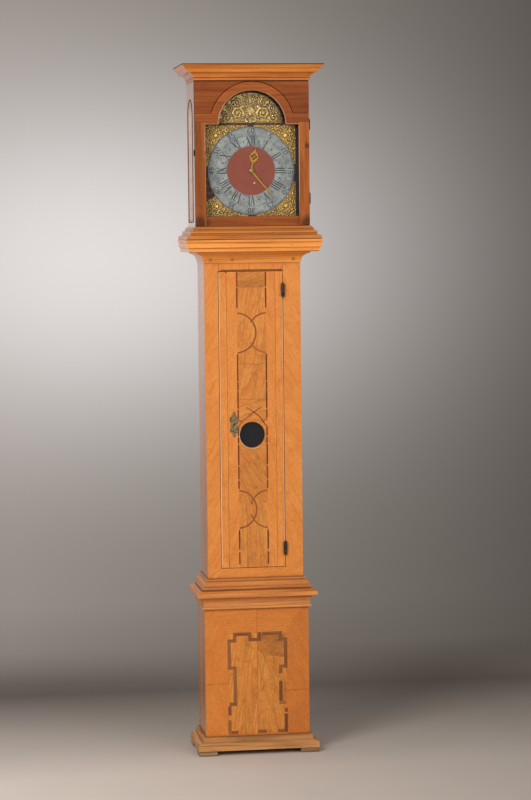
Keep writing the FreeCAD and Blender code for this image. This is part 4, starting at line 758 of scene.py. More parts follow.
BANDING = Wood("banding", 0xA86C3C, 0x90542A, 0x542E18, Run.LEAF, figure=0.6, streak=0.5, rings=0.0)
PEG = Wood("pegs", 0xDE8E4E, 0xD27C3E, 0x824220, Run.LEAF, figure=0.3, rings=0.0, grime=0.4)
# Near-white wood for painted highlights along arrises.
ARRIS_HIGHLIGHT = Wood("worn_arris", 0xFFECCE, 0xFCDAB2, 0xB47846, Run.LEAF, figure=0.4, streak=0.3, rings=0.0, grime=0.2)
# The door bead's pale colour is partly a painted highlight, where its round face catches the light from the
# left.
BEAD_AND_HIGHLIGHT = Wood("glazing_bead", 0xCE9670, 0xB0744E, 0x683A22, Run.LEAF, streak=0.4, rings=0.0, gloss=0.24, coat=1.0)

JOINT = Paint("joint_lines", 0x3A1A0C, 0x542812, 0.8, 0.00004, 0.5)
# Black stain of the dial mask; also used for the painted shade down the dial plate's sides.
MASK = Paint("mask_stain", 0x181618, 0x241E1C, 0.7, 0.00006)
PUTTY = Paint("glazing_putty", 0xC4AC9E, 0xAC9282, 0.6, 0.0003, 0.4)
WORN_WAX = Paint("worn_wax", 0x34383A, 0x585C5C, 0.6, 0.00003)
# Black wax of the engraving; also used for the painted shade inside the keyhole.
WAX = Paint("engraving_wax", 0x0E1014, 0x222428, 0.6, 0.00003)
MATTED = Paint("matted_centre", 0x843C28, 0x944C36, 0.7, 0.00012, 0.5)
PALE_SPOT = Paint("pale_spot", 0xD69684, 0xBE7C6A, 0.6, 0.00004)

RING = Silvering("silvered_ring", 0xAAAEA7, 0x808582, 0x3E4448, DIAL_CENTRE)
GILT = Gilding("gilt_mounts", 0xF4CE70, 0xA88444, 0x32181E)
ARCH_GILT = Gilding("gilt_arch", 0xCEB26A, 0x967A46, 0x42222A)
HAND = Metal("gilt_hands", 0xC2923E, 0x825822, 0.34, 0.3, 0.85, 300)
COLLET = Metal("collet_brass", 0xA8A068, 0x5C542C, 0.4, 0.4, 0.7, 300)
DIAL_BRASS = Metal("dial_plate_brass", 0x684230, 0x3E221E, 0.5, 0.7, 0.4)
BRASS = Metal("movement_brass", 0xCEA85C, 0x8C6A36, 0.30, 0.3, 1.0, 70)
BELL = Metal("bell_metal", 0xBA9660, 0x685032, 0.32, 0.4, 1.0, 60)
BOB = Metal("bob_brass", 0xC4984C, 0x704E28, 0.28, 0.4, 1.0, 50)
STEEL = Metal("filed_steel", 0x96989C, 0x54504C, 0.36, 0.4, 1.0, 180)
IRON = Metal("dark_iron", 0x605A54, 0x221C18, 0.46, 0.75, 0.8, 260, 0.0002)
PULL = Metal("pull_iron", 0x463E38, 0x1A1614, 0.5, 0.8, 0.8, 260, 0.0002)
PLATE = Metal("keyhole_plate", 0xA89264, 0x4E503A, 0.44, 0.62, 0.8, 240, 0.0002)
CHAIN_WIRE = Metal("chain_wire", 0x7E766C, 0x3A3028, 0.4, 0.5, 1.0, 300)
WEIGHT = Metal("cast_weight", 0x4A4644, 0x282220, 0.55, 0.6, 0.7, 110, 0.0004)
GLASS = Pane("door_glass", 0x969C98, 0.01)
# The side panes' near-white tint is the colour of their dust and painted reflection.
SIDE_GLASS = Pane("side_glass", 0xFADECE, 0.02, 0.3, 1.5)
DARK_GLASS = Pane("lenticle_glass", 0x1A1A1A, 0.93, 0.12)


def linked(name: str, data: Any) -> bpy.types.Object:
    """New object in the scene."""
    thing = bpy.data.objects.new(name, data)
    bpy.context.scene.collection.objects.link(thing)
    return thing


class Section:
    """Sub-assembly of the clock. All sections share the materials made so far."""

    made: dict[str, Material] = {}

    def material(self, finish: Finish) -> Material:
        """The material of a finish, made when it is first asked for."""
        if finish.name not in self.made:
            self.made[finish.name] = finish.make()
        return self.made[finish.name]

    def dress(self, finishes: dict[str, Finish]) -> None:
        """Gives frame nodes their finishes.

        Args:
            finishes: The finish of each node.
        """
        for node, finish in finishes.items():
            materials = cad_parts[node].data.materials
            materials.clear()
            materials.append(self.material(finish))
            log.info("%s has the finish %s", node, finish.name)

    @staticmethod
    def edges(node: str) -> tuple[float, ...]:
        """Left, right, foot and head of a node's box in millimetres, and Y of its face in metres."""
        low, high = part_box(node)
        return low.x / MM, high.x / MM, low.z / MM, high.z / MM, low.y

    @staticmethod
    def middle(node: str) -> Any:
        """Middle of a node's box in metres."""
        low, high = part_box(node)
        return (low + high) / 2

    def piece(self, name: str, shell: Shell, finish: Finish, body: str, slot: str,
            smooth: bool = False) -> bpy.types.Object:
        """Makes a piece of the clock.

        Args:
            name: The piece's name.
            shell: Its shape.
            finish: Its finish.
            body: The body that it moves with, or nothing to leave it on no body.
            slot: The record's slot; not used.
            smooth: Whether its shading is smoothed.

        Returns:
            The piece.
        """
        mesh = bpy.data.meshes.new(name)
        mesh.from_pydata(shell.points.tolist(), [], shell.faces)
        if shell.grain is not None:
            layer = mesh.uv_layers.new(name="grain")
            corners = np.empty(len(mesh.loops), np.int32)
            mesh.loops.foreach_get("vertex_index", corners)
            layer.data.foreach_set("uv", shell.grain[corners].astype(np.float32).ravel())
        if shell.tone is not None:
            tone = mesh.attributes.new("tone", "FLOAT", "POINT")
            tone.data.foreach_set("value", shell.tone.astype(np.float32))
        mesh.polygons.foreach_set("use_smooth", np.full(len(mesh.polygons), smooth))
        mesh.update()
        mesh.validate()
        mesh.materials.append(self.material(finish))
        piece = linked(name, mesh)
        if body:
            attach(piece, body)
        log.info("%s has %d faces", name, len(mesh.polygons))
        return piece


# Case


@dataclass
class Veneer:
    """Leaves of veneer laid side by side on one flat face."""

    face: float  # Y of the board's face
    proud: float = 0.0001  # How far the leaves stand in front of it
    sunk: float = LET_IN  # How far their backs lie behind it
    leaves: list[Shell] = field(default_factory=list)  # The leaves laid so far

    def lay(self, outline: Sequence[Place], slope: float, tone: float = 0.0,
            shift: float = 0.0) -> None:
        """Lays one leaf.

        The grain place is the leaf's own place turned by the slope, so that streaks run that way.

        Args:
            outline: Corners as x and z in millimetres, anticlockwise.
            slope: Bearing of the grain in degrees, 90 for upright.
            tone: Lighter above 0, darker below.
            shift: Moves the pattern along the grain.
        """
        corners = np.array(outline, float) * MM
        shell = prism(corners, self.face - self.proud, self.face + self.sunk)
        bearing = math.radians(slope)
        flat = shell.points[:, [0, 2]]
        along = flat @ np.array([math.cos(bearing), math.sin(bearing)])
        across = flat @ np.array([-math.sin(bearing), math.cos(bearing)])
        shell.grain = np.column_stack([along + shift, across])
        shell.tone = np.full(len(flat), tone)
        self.leaves.append(shell)

    def box(self, x0: float, x1: float, z0: float, z1: float, slope: float, tone: float = 0.0,
            shift: float = 0.0) -> None:
        """Lays a square-cornered leaf between two corners, in millimetres."""
        self.lay([(x0, z0), (x1, z0), (x1, z1), (x0, z1)], slope, tone, shift)


def strips(paths: Iterable[Any], width: float, face: float, seed: int, proud: float = 0.0002) -> Shell:
    """Inlaid lines along several paths.

    Args:
        paths: Points of each path as x and z in millimetres, or four numbers for a straight line.
        width: Width of the lines in millimetres.
        face: Y of the board's face.
        seed: Start of the random tones.
        proud: How far the lines stand in front of the face.

    Returns:
        One shell with grain and tone.
    """
    tones = np.random.default_rng(seed)
    shells = []
    for path in paths:
        points = np.array(path, float)
        if points.ndim == 1:
            points = np.linspace(points[:2], points[2:], 3)
        shell = ribbon(points * MM, width * MM, face - proud, face + LET_IN)
        shell.grain = shell.grain + tones.uniform(0, 5, 2)
        shell.tone = np.full(len(shell.points), tones.uniform(-0.5, 0.35))
        shells.append(shell)
    return joined(shells)


@dataclass
class Trunk(Section):
    """Trunk of the case with its veneered and inlaid front. Sizes in millimetres."""

    axis: float = -4.5  # X of the inlaid panel's middle
    string_left: float = -50.0  # X of the left line of stringing
    string_right: float = 40.5  # X of the right one
    string_width: float = 4.4  # Width of the stringing
    edge_left: float = -83.0  # X of the seam near the door's left edge
    edge_right: float = 70.0  # X of the seam near its right edge
    # Level and radius of each pair of crossed half rounds
    circles: tuple[tuple[float, float], ...] = ((1322.0, 62.0), (769.5, 59.0))
    cross_level: float = 1074.0  # Level of the crossing above the lenticle
    seams: tuple[float, ...] = (1464.6, 1224.6, 1115.0)  # Levels of the seams across the panel
    gap: float = 1.7  # Gap beside and under the door
    glass_lap: float = 4.0  # How far the lenticle's glass laps behind the door
    head_gap: float = 2.5  # Gap over it

    def build(self) -> None:
        """Dresses the trunk's nodes and lays its veneer, stringing and joint lines."""
        self.dress({
            "trunk_sides": SIDE, "trunk_front_frame": CORE, "trunk_door": CORE,
            "waist_moulding": LOW_MOULDING, "throat_moulding": COVE, "backboard": CARCASE,
        })
        self.lay_frame()
        self.lay_door()
        self.lay_lines()
        self.peg_cove()

    def lay_frame(self) -> None:
        """Feathered veneer on the frame about the door, mitred at the lower left corner."""
        left, right, foot, head, face = self.edges("trunk_front_frame")
        inner_left, inner_right, sill, lintel, _ = self.edges("trunk_door")
        inner_left, inner_right, sill = inner_left - self.gap, inner_right + self.gap, sill - self.gap
        lintel += self.head_gap
        veneer = Veneer(face)
        span = (head - sill) / 4
        for index in range(4):
            z0, z1 = sill + index * span, sill + (index + 1) * span
            veneer.box(left, inner_left, z0, z1, 62, 0.04 * (-1) ** index, index * 1.7)
            veneer.box(inner_right, right, z0, z1, 118, -0.04 * (-1) ** index, 4 + index * 1.3)
        veneer.lay([(left, foot), (inner_left, sill), (left, sill)], 66, 0.06, 9)
        veneer.lay([(left, foot), (right, foot), (right, sill), (inner_left, sill)], 5, -0.06, 11)
        veneer.box(inner_left, self.axis - 6, lintel, head, 90, 0.02, 13)
        veneer.box(self.axis - 6, inner_right, lintel, head, 84, 0.08, 15)
        self.piece("trunk_frame_veneer", joined(veneer.leaves), VENEER, "case", "veneer")

    def lay_door(self) -> None:
        """Veneer of the door: borders, feathered bands and a panel cut by the seams and the lenticle."""
        left, right, foot, head, face = self.edges("trunk_door")
        veneer = Veneer(face)
        glass_left, glass_right, low, high, _ = self.edges("lenticle_glass")
        middle, round_x = (low + high) / 2, (glass_left + glass_right) / 2
        radius = (glass_right - glass_left) / 2 - self.glass_lap
        span = (head - foot) / 3
        for index in range(3):
            z0, z1 = foot + index * span, foot + (index + 1) * span
            veneer.box(left, self.edge_left, z0, z1, 90, 0.10 - 0.03 * index, 21)
            veneer.box(self.edge_left, self.string_left, z0, z1, 72, 0.02 * index, 31 + 2 * index)
            veneer.box(self.string_right, self.edge_right, z0, z1, 106, -0.03 * index, 41 + 2 * index)
            veneer.box(self.edge_right, right, z0, z1, 90, 0.04, 51)
        self.piece("door_veneer", joined(veneer.leaves), VENEER, "trunk_door", "veneer")
        veneer = Veneer(face)
        edges = [head] + list(self.seams) + [middle + radius + 8, middle - radius - 8,
            self.circles[1][0] + 20, foot]
        slopes = [20, 84, 74, 12, 0, 118, 92]
        tones = [-0.22, 0.0, -0.02, 0.0, 0.0, -0.10, -0.04]
        for index, (top, bottom) in enumerate(zip(edges, edges[1:])):
            if index != 4:
                veneer.box(self.string_left, self.string_right, bottom, top, slopes[index], tones[index],
                    61 + 3 * index)
        top, bottom = edges[4], edges[5]
        upper = arc((round_x, middle), radius, 180, 0, 25)
        lower = arc((round_x, middle), radius, 0, -180, 25)
        x0, x1 = self.string_left, self.string_right
        veneer.lay([*upper, (x1, middle), (x1, top), (x0, top), (x0, middle)], 38, -0.05, 81)
        veneer.lay([*lower, (x0, middle), (x0, bottom), (x1, bottom), (x1, middle)], 104, -0.12, 85)
        self.piece("door_panel", joined(veneer.leaves), PANEL, "trunk_door", "veneer")

    def broken(self, x: float, top: float, bottom: float, lengths: Place,
            gap: float) -> list[tuple[float, ...]]:
        """Upright line laid as short lengths with gaps between them.

        Args:
            x: Place of the line.
            top: Upper end.
            bottom: Lower end.
            lengths: Lengths of the pieces, used in turn.
            gap: Gap between two pieces.

        Returns:
            The two ends of each piece.
        """
        pieces = []
        level = top
        index = 0
        while level > bottom + 4 * gap:
            end = max(level - lengths[index % len(lengths)], bottom)
            pieces.append((x, level, x, end))
            level = end - gap
            index += 1
        return pieces

    def lay_lines(self) -> None:
        """Stringing of the panel: broken uprights, crossed half rounds and the crossing over the lenticle."""
        left, right, foot, head, face = self.edges("trunk_door")
        frame_left, _, frame_foot, frame_head, frame_face = self.edges("trunk_front_frame")
        (top_level, top_radius), (low_level, low_radius) = self.circles
        cross = self.cross_level
        uprights = []
        for x in (self.string_left, self.string_right):
            uprights += self.broken(x, head - 1, top_level + top_radius + 6, (46, 62, 31), 3.5)
            uprights += self.broken(x, top_level - top_radius - 4, cross - 18, (84, 26, 55, 33), 2.5)
            uprights += self.broken(x, cross - 46, low_level + low_radius + 6, (28, 19, 64, 41, 52), 4.0)
            uprights += self.broken(x, low_level - low_radius - 6, foot + 1, (61, 38), 9.0)
        half = (self.string_right - self.string_left) / 2 + 4
        rounds = []
        for (level, radius), lost in zip(self.circles, (32, 16)):
            rounds.append(arc((self.axis - half, level), radius, 86, -86, 33))
            rounds.append(arc((self.axis + half, level), radius - 0.2, 94, 180 - lost, 17))
            rounds.append(arc((self.axis + half, level), radius - 0.2, 180 + lost, 266, 17))
        neck = self.string_left, self.string_right
        crossing = []
        middle = self.axis + 4
        for side, x in zip((-1, 1), neck):
            crossing.append([(middle, cross), (middle + side * 18, cross - 14),
                (x - side * 13, cross - 29), (x, cross - 46)])
            crossing.append([(x, cross - 18), (x - side * 3, cross - 24), (x - side * 12, cross - 30)])
            crossing.append([(middle, cross), (middle + side * 12, cross + 8),
                (middle + side * 24, cross + 15)])
        body = "trunk_door"
        self.piece("door_stringing", strips(uprights, self.string_width, face, 3), STRINGING, body, "veneer")
        self.piece("door_half_rounds", strips(rounds[::3], 4.6, face, 5, 0.00025), ROUND, body, "veneer")
        self.piece("door_broken_rounds", strips(rounds[1::3] + rounds[2::3], 4.6, face, 6, 0.0003), ROUND,
            body, "veneer")
        self.piece("door_crossing", strips(crossing, 3.6, face, 7, 0.0003), ROUND, body, "veneer")
        seams = [(self.string_left, z, self.string_right, z) for z in self.seams]
        seams += [(x, foot, x, head) for x in (self.edge_left, self.edge_right)]
        self.piece("door_joint_lines", strips(seams, 0.7, face, 9, 0.00015), JOINT, body, "veneer")
        rail = head + self.head_gap
        marks = [
            (left, rail, left, frame_head),
            (right + self.gap, rail, right + self.gap, frame_head),
            (self.axis - 6, rail, self.axis - 6, rail + 27),
            [(frame_left + 1, frame_foot + 50), (-133, 569), (left - 2, foot - 2)],
        ]
        self.piece("frame_joint_lines", strips(marks, 0.8, frame_face, 11, 0.00015), JOINT, "case", "veneer")
        # Pale lines along the door's long edges and the lower left of the lenticle's rim: painted highlights
        # where these arrises catch the light.
        worn = [(left + 1.0, foot + 8, left + 1.0, head - 4),
                (right - 1.0, foot + 60, right - 1.0, head - 90),
                arc((self.axis, 1003.0), 42.4, 150, 300, 34)]
        self.piece("door_worn_arris", strips(worn, 1.5, face, 29, 0.00035), ARRIS_HIGHLIGHT, body, "veneer")
        lath = [(left + 6, rail + 2.4, right - 1, rail + 2.4)]
        self.piece("frame_lath", strips(lath, 2.8, frame_face, 12, 0.0003), STRINGING, "case", "veneer")
        dot = cap(2.2, 0.3, 0.1, (-83 * MM, face, (head - 2) * MM), (0, -1, 0), 16)
        self.piece("door_nail_hole", dot, WAX, body, "veneer", True)

    def peg_cove(self) -> None:
        """Three wooden pegs through the cove under the hood."""
        low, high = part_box("trunk_front_frame")
        head = cap(4.2, 3.6, 0.3, (0, 0, 0), (0, -1, -0.35), 18)
        level = high.z - 61 * MM
        pegs = placed(head, [(x * MM, low.y - 1.6 * MM, level) for x in (-132.8, -63.9, 128.2)])
        pegs.grain = pegs.points[:, [0, 2]] * 3
        pegs.tone = np.full(len(pegs.points), -0.2)
        self.piece("cove_pegs", pegs, PEG, "case", "moulding_wood", True)


@dataclass
class Base(Section):
    """Base of the case with its stepped banding. Sizes in millimetres."""

    outer: tuple[float, float] = (-89.0, 90.0)  # X of the banding's outer uprights, left and right
    inner: tuple[float, float] = (-71.5, 73.5)  # X of its inner uprights
    top: float = 378.0  # Level of the banding's top
    shoulder: float = 357.5  # Level where it steps out
    waist_top: float = 272.0  # Level where it steps in
    waist_foot: float = 157.0  # Level where it steps out again
    foot: float = 62.0  # Level of its foot
    width: float = 10.4  # Width of the banding

    def build(self) -> None:
        """Dresses the base's nodes and lays its veneer and banding."""
        self.dress({
            "feet": FOOT, "plinth": PLINTH, "base_front": CORE, "base_sides": SIDE,
            "base_cap_moulding": LOW_MOULDING, "bottom_board": CARCASE,
        })
        left, right, floor, head, face = self.edges("base_front")
        veneer = Veneer(face)
        out_left, out_right = self.outer
        # The leaves' tones are painted shade: below zero all over, where the light falls off towards the floor,
        # and lower on the right, away from the lamp.
        for row in (
            ([(left, 223), (out_left, 223), (out_left, self.top), (left, head)], 64, -0.16, 2),
            ([(left, floor), (out_left, self.foot), (out_left, 223), (left, 223)], 116, -0.14, 5),
            ([(out_right, 196), (right, 196), (right, head), (out_right, self.top)], 116, -0.46, 8),
            ([(out_right, self.foot), (right, floor), (right, 196), (out_right, 196)], 64, -0.50, 11),
            ([(out_left, self.top), (0, self.top), (0, head), (left, head)], 4, -0.17, 14),
            ([(0, self.top), (out_right, self.top), (right, head), (0, head)], 176, -0.24, 17),
            ([(left, floor), (right, floor), (out_right, self.foot), (out_left, self.foot)], 2, -0.1, 20),
        ):
            veneer.lay(*row)
        self.piece("base_veneer", joined(veneer.leaves), BASE_VENEER, "case", "veneer")
        veneer = Veneer(face)
        # These tones are painted shade too, darkest on the right.
        veneer.box(out_left, 0, self.foot, self.top, 82, -0.06, 23)
        veneer.lay([(0, self.foot), (out_right, self.foot), (out_right, 300), (22, 310), (0, 330)], 98, -0.2,
            27)
        veneer.lay([(0, 330), (22, 310), (out_right, 300), (out_right, self.top), (0, self.top)], 14, -0.60, 31)
        self.piece("base_panel", joined(veneer.leaves), BASE_PANEL, "case", "veneer")
        self.lay_banding(face)
        seams = [
            (0, self.foot, 0, head), (left, 223, out_left, 223),
            (out_right, 196, right, 196),
            [(2, 330), (20, 312), (24, 290), (14, 250), (9, 210)],
        ]
        self.piece("base_joint_lines", strips(seams, 0.7, face, 13, 0.00015), JOINT, "case", "veneer")

    def lay_banding(self, face: float) -> None:
        """Banding that steps in and out, laid in short pieces, some of them lost."""
        paths: list[tuple[float, ...]] = []
        half = self.width / 2
        top, shoulder, foot = self.top, self.shoulder, self.foot
        waist_top, waist_foot = self.waist_top, self.waist_foot
        for side, out, within in zip((-1, 1), self.outer, self.inner):
            paths += [
                (within, top + half, within, shoulder - half),
                (within + side * half, shoulder, out + side * half, shoulder),
                (out, shoulder - half, out, waist_top - half),
                (out - side * half, waist_top, within - side * half, waist_top),
                (out, waist_foot, within - side * half, waist_foot),
                (out - side * half, foot + half, out - side * 27, foot + half),
            ]
        left_in, right_in = self.inner
        left_out, right_out = self.outer
        paths += [
            (left_in, waist_top - half, left_in, waist_foot + half),
            (right_in, waist_top - half, right_in, 250),
            (right_in, 226, right_in, waist_foot + half),
            (left_out, waist_foot - 6, left_out, 122),
            (left_out, 107, left_out, foot),
            (right_out, 139, right_out, 126),
            (right_out, 121, right_out, foot),
            (left_in + half, top, -24 - half, top),
            (-24, top + half, -24, 360 - half),
            (half - 24, 360, 7 - half, 360),
            (7, top + half, 7, 360 - half),
            (15, top, right_in - half, top),
            (0, foot + half, 28, foot + half),
        ]
        self.piece("base_banding", strips(paths, self.width, face, 17), BANDING, "case", "veneer")


# Hood


@dataclass
class Hood(Section):
    """Hood with its arched door. Sizes in millimetres."""

    joint_level: float = 1973.8  # Level of the joint between the door's stiles and its arched rail
    stile_width: float = 33.0  # Width of the door's stiles
    opening_half: float = 145.0  # Half the width of the door's glazed opening
    opening_foot: float = 1683.2  # Level of its foot
    opening_shoulder: float = 1966.0  # Level of its shoulders and of its arch's centre
    opening_arch: float = 104.0  # Radius of its arch
    bead_width: float = 3.6  # Width of the bead round it
    bead_rise: float = 1.3  # How far the bead stands off the door
    pane_lap: float = 5.0  # How far the side panes lap behind the boards
    putty_width: float = 9.0  # Width of their putty on the pane

    def build(self) -> None:
        """Dresses the hood's nodes and draws the joints of its door."""
        self.dress({
            "hood_sides": HOOD_SIDE, "hood_front_rails": HOOD_RAIL, "hood_top_board": CARCASE,
            "cornice": CORNICE, "hood_base_moulding": HOOD_FOOT, "dial_mask": MASK,
            "hood_side_glasses": SIDE_GLASS, "hood_door_glass": GLASS, "hood_door_stiles": HOOD_STILE,
            "hood_door_rails": DOOR_RAIL, "hood_door_pull": PULL, "hood_hinge_posts": IRON,
            "hood_door_hinge_leaves": IRON,
        })
        low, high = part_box("hood_door_stiles")
        left, right, foot = low.x / MM, high.x / MM, low.z / MM
        rail_top = foot + 29.5
        lines = []
        for edge, inner in ((left, left + self.stile_width), (right, right - self.stile_width)):
            lines.append((edge, self.joint_level, inner, self.joint_level))
            lines.append((inner, foot, inner, rail_top))
        self.piece("hood_door_joint_lines", strips(lines, 0.8, low.y, 19, 0.00015), JOINT, "hood_door",
            "hood_wood")
        self.lay_bead(low.y)
        self.lay_putty()

    def lay_putty(self) -> None:
        """Dark bead round each side window, painting the shade along its edge, and a hollow fillet of putty
        from the board down to the pane.

        The path and profile are made as for a front face, and then turned on to the side.
        """
        low, high = (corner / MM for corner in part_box("hood_side_glasses"))
        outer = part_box("hood_sides")[1].x / MM
        centre, half = (low.y + high.y) / 2, (high.y - low.y) / 2
        radius, foot, spring = half - self.pane_lap, low.z + self.pane_lap, high.z - half
        crown = arc((centre, spring), radius, 180, 0, 41)
        path = np.vstack([[(centre, foot), (centre - radius, foot)], crown, [(centre + radius, foot), (centre,
            foot)]])
        sink = outer - high.x
        share = np.linspace(0, 1, 6)
        hollow = np.column_stack([-self.putty_width * share ** 0.6, -1.2 - (sink - 1.2) * share ** 1.5])
        putty = carried(path * MM, np.vstack([hollow, [(0, -sink)]]) * MM, 0.0)
        # The bead takes the hood rails' darker finish, painting the shade along each window's edge.
        bead = carried(path * MM, self.half_round(3.0, 7), 0.0)
        for side, name in ((-1, "left"), (1, "right")):
            for what, shell, finish in (("putty", putty, PUTTY), ("bead", bead, HOOD_RAIL)):
                across = side * (outer * MM - shell.points[:, 1])
                turned = np.column_stack([across, shell.points[:, 0], shell.points[:, 2]])
                piece = facing_out(Shell(turned, shell.faces))
                self.piece(f"hood_window_{what}_{name}", piece, finish, "hood", "hood_wood", what == "bead")

    def half_round(self, width: float, steps: int) -> Array:
        """Profile of a bead, rounded over half a turn.

        Across the bead, each point lies at half the width times one less the cosine of its angle, and it
        stands up by the rise times the sine.

        Args:
            width: Width of the bead.
            steps: Points on the round.

        Returns:
            The profile in metres.
        """
        swing = np.linspace(0, math.pi, steps)
        over = np.column_stack([width / 2 * (1 - np.cos(swing)), self.bead_rise * np.sin(swing)])
        return np.vstack([over, [(width, -0.4), (0, -0.4)]]) * MM

    def lay_bead(self, face: float) -> None:
        """Half-round bead along the edge of the door's glazed opening.

        Args:
            face: Y of the door's face.
        """
        half, foot, shoulder = self.opening_half, self.opening_foot, self.opening_shoulder
        crown = arc((0.0, shoulder), self.opening_arch, 180, 0, 61)
        path = np.vstack([[(-half, foot), (-half, shoulder)], crown, [(half, shoulder), (half, foot)]]) * MM
        profile = self.half_round(self.bead_width, 9)
        shell = carried(path, profile, face)
        length = np.concatenate([[0], np.cumsum(np.linalg.norm(np.diff(path, axis=0), axis=1))])
        shell.grain = np.column_stack([np.repeat(length, len(profile)),
            np.tile(np.arange(len(profile)) * 0.5 * MM, len(path))])
        shell.tone = np.zeros(len(shell.points))
        # Its pale finish is partly a painted highlight.
        self.piece("hood_door_bead", shell, BEAD_AND_HIGHLIGHT, "hood_door", "hood_wood", True)


# Dial


def on_dial(across: Array, up: Array, turn: float) -> Array:
    """X and z of places across and up from the dial's centre in millimetres, turned clockwise in radians."""
    cosine, sine = math.cos(turn), math.sin(turn)
    return np.column_stack([across * cosine + up * sine, up * cosine - across * sine]) * MM + DIAL_CENTRE


@dataclass
class Numerals:
    """Engraved figures and lines of the chapter ring. Sizes in millimetres."""

    foot: float = 78.0  # Radius at the foot of the hour figures
    head: float = 106.0  # Radius at their head
    thick: float = 2.8  # Width of the thick strokes
    thin: float = 1.3  # Width of the thin strokes
    minute_foot: float = 114.5  # Radius at the foot of the minute figures
    minute_height: float = 17.5  # Height of the minute figures
    track: tuple[float, float] = (108.5, 111.5)  # Radii of the two rings of the minute track
    raise_by: float = 0.12  # How far the wax stands on the ring
    sunk: float = 0.1  # How far it reaches into the ring
    letter_size: float = 1.45  # Size of the lettering over the height of its figures

    widths = {"I": 6.9, "V": 14.0, "X": 14.5}
    hours = ("XII", "I", "II", "III", "IIII", "V", "VI", "VII", "VIII", "IX", "X", "XI")

    def stroke(self, start: Place, end: Place, width: float) -> Array:
        """Outlines a straight stroke.

        Args:
            start: One end.
            end: The other end.
            width: Width of the stroke.

        Returns:
            Its four corners.
        """
        first, last = np.array(start, float), np.array(end, float)
        run = (last - first) / np.linalg.norm(last - first)
        side = np.array([run[1], -run[0]]) * width / 2
        return np.array([first + side, last + side, last - side, first - side])

    def letter(self, sign: str, x: float) -> list[Array]:
        """Strokes of one letter between the foot and head circles.

        Args:
            sign: I, V or X.
            x: Place of its middle along the figure.

        Returns:
            Corners of each stroke, with the second number measured from the ring's centre.
        """
        foot, head = self.foot, self.head
        reach = self.widths[sign] / 2 - 1.4
        serif = self.thin * 0.9
        if sign == "I":
            strokes = [self.stroke((x, foot), (x, head), self.thick)]
            ends = [(x, foot), (x, head)]
        elif sign == "V":
            strokes = [self.stroke((x, foot), (x - reach, head), self.thick), self.stroke((x, foot),
                (x + reach, head), self.thin)]
            ends = [(x - reach, head), (x + reach, head)]
        else:
            strokes = [self.stroke((x + reach, foot), (x - reach, head), self.thick),
                       self.stroke((x - reach, foot), (x + reach, head), self.thin)]
            ends = [(x - reach, foot), (x + reach, foot), (x - reach, head), (x + reach, head)]
        return strokes + [self.stroke((at - 2.4, level), (at + 2.4, level), serif) for at, level in ends]

    def turned(self, corners: Array, bearing: float, face: float) -> Shell:
        """Stroke turned round the dial's centre."""
        flat = on_dial(corners[:, 0], corners[:, 1], bearing * TURN)
        return prism(flat, face - self.raise_by * MM, face + self.sunk * MM)

    def hour_figures(self, face: float) -> Shell:
        """All twelve hour figures, with a small pointed mark at each half hour.

        Args:
            face: Y of the ring's face.

        Returns:
            The figures.
        """
        shells = []
        for hour, figure in enumerate(self.hours):
            total = sum(self.widths[sign] for sign in figure)
            x = -total / 2
            for sign in figure:
                x += self.widths[sign] / 2
                shells += [self.turned(stroke, hour / 12, face) for stroke in self.letter(sign, x)]
                x += self.widths[sign] / 2
            middle = (self.foot + self.head) / 2
            mark = np.array([(0, middle - 6.0), (1.3, middle), (0, middle + 6.0), (-1.3, middle)])
            bar = self.stroke((-3.4, middle), (3.4, middle), 0.7)
            shells += [self.turned(shape, (hour + 0.5) / 12, face) for shape in (mark, bar)]
        return joined(shells)

    def minute_track(self, face: float, inner: float, outer: float) -> Shell:
        """Two fine rings with sixty divisions between them, and a line near each edge of the ring.

        Args:
            face: Y of the ring's face.
            inner: Radius of the ring's inner edge.
            outer: Radius of its outer edge.

        Returns:
            The lines.
        """
        shells = []
        for radius in (*self.track, inner + 1.2, outer - 1.2):
            turn = np.linspace(0, TURN, 181)
            circle = np.column_stack([np.sin(turn), np.cos(turn)]) * radius * MM + np.array(DIAL_CENTRE)
            shells.append(ribbon(circle, 0.45 * MM, face - self.raise_by * MM, face + self.sunk * MM))
        for minute in range(60):
            width = 1.0 if minute % 5 == 0 else 0.45
            line = self.stroke((0, self.track[0]), (0, self.track[1]), width)
            shells.append(self.turned(line, minute / 60, face))
        return joined([Shell(shell.points, shell.faces) for shell in shells])

    def minute_figures(self, face: float) -> Shell:
        """Figures 5 to 60 set round the edge, their heads outwards.

        Args:
            face: Y of the ring's face.

        Returns:
            The figures.
        """
        shells = []
        for index in range(1, 13):
            curve = bpy.data.curves.new("figure", "FONT")
            curve.body = str(5 * index)
            curve.size = self.minute_height * MM * self.letter_size
            curve.align_x = "CENTER"
            curve.extrude = self.raise_by * MM
            curve.resolution_u = 3
            holder = linked("figure", curve)
            bpy.context.view_layer.update()
            mesh = bpy.data.meshes.new_from_object(holder.evaluated_get(bpy.context.evaluated_depsgraph_get()))
            flat = np.empty(len(mesh.vertices) * 3)
            mesh.vertices.foreach_get("co", flat)
            flat = flat.reshape(-1, 3)
            faces = [tuple(polygon.vertices) for polygon in mesh.polygons]
            spot = on_dial(flat[:, 0] / MM, flat[:, 1] / MM + self.minute_foot, index / 12 * TURN)
            shells.append(Shell(np.column_stack([spot[:, 0], face - flat[:, 2], spot[:, 1]]), faces))
            bpy.data.objects.remove(holder)
            bpy.data.curves.remove(curve)
            bpy.data.meshes.remove(mesh)
        return joined(shells)


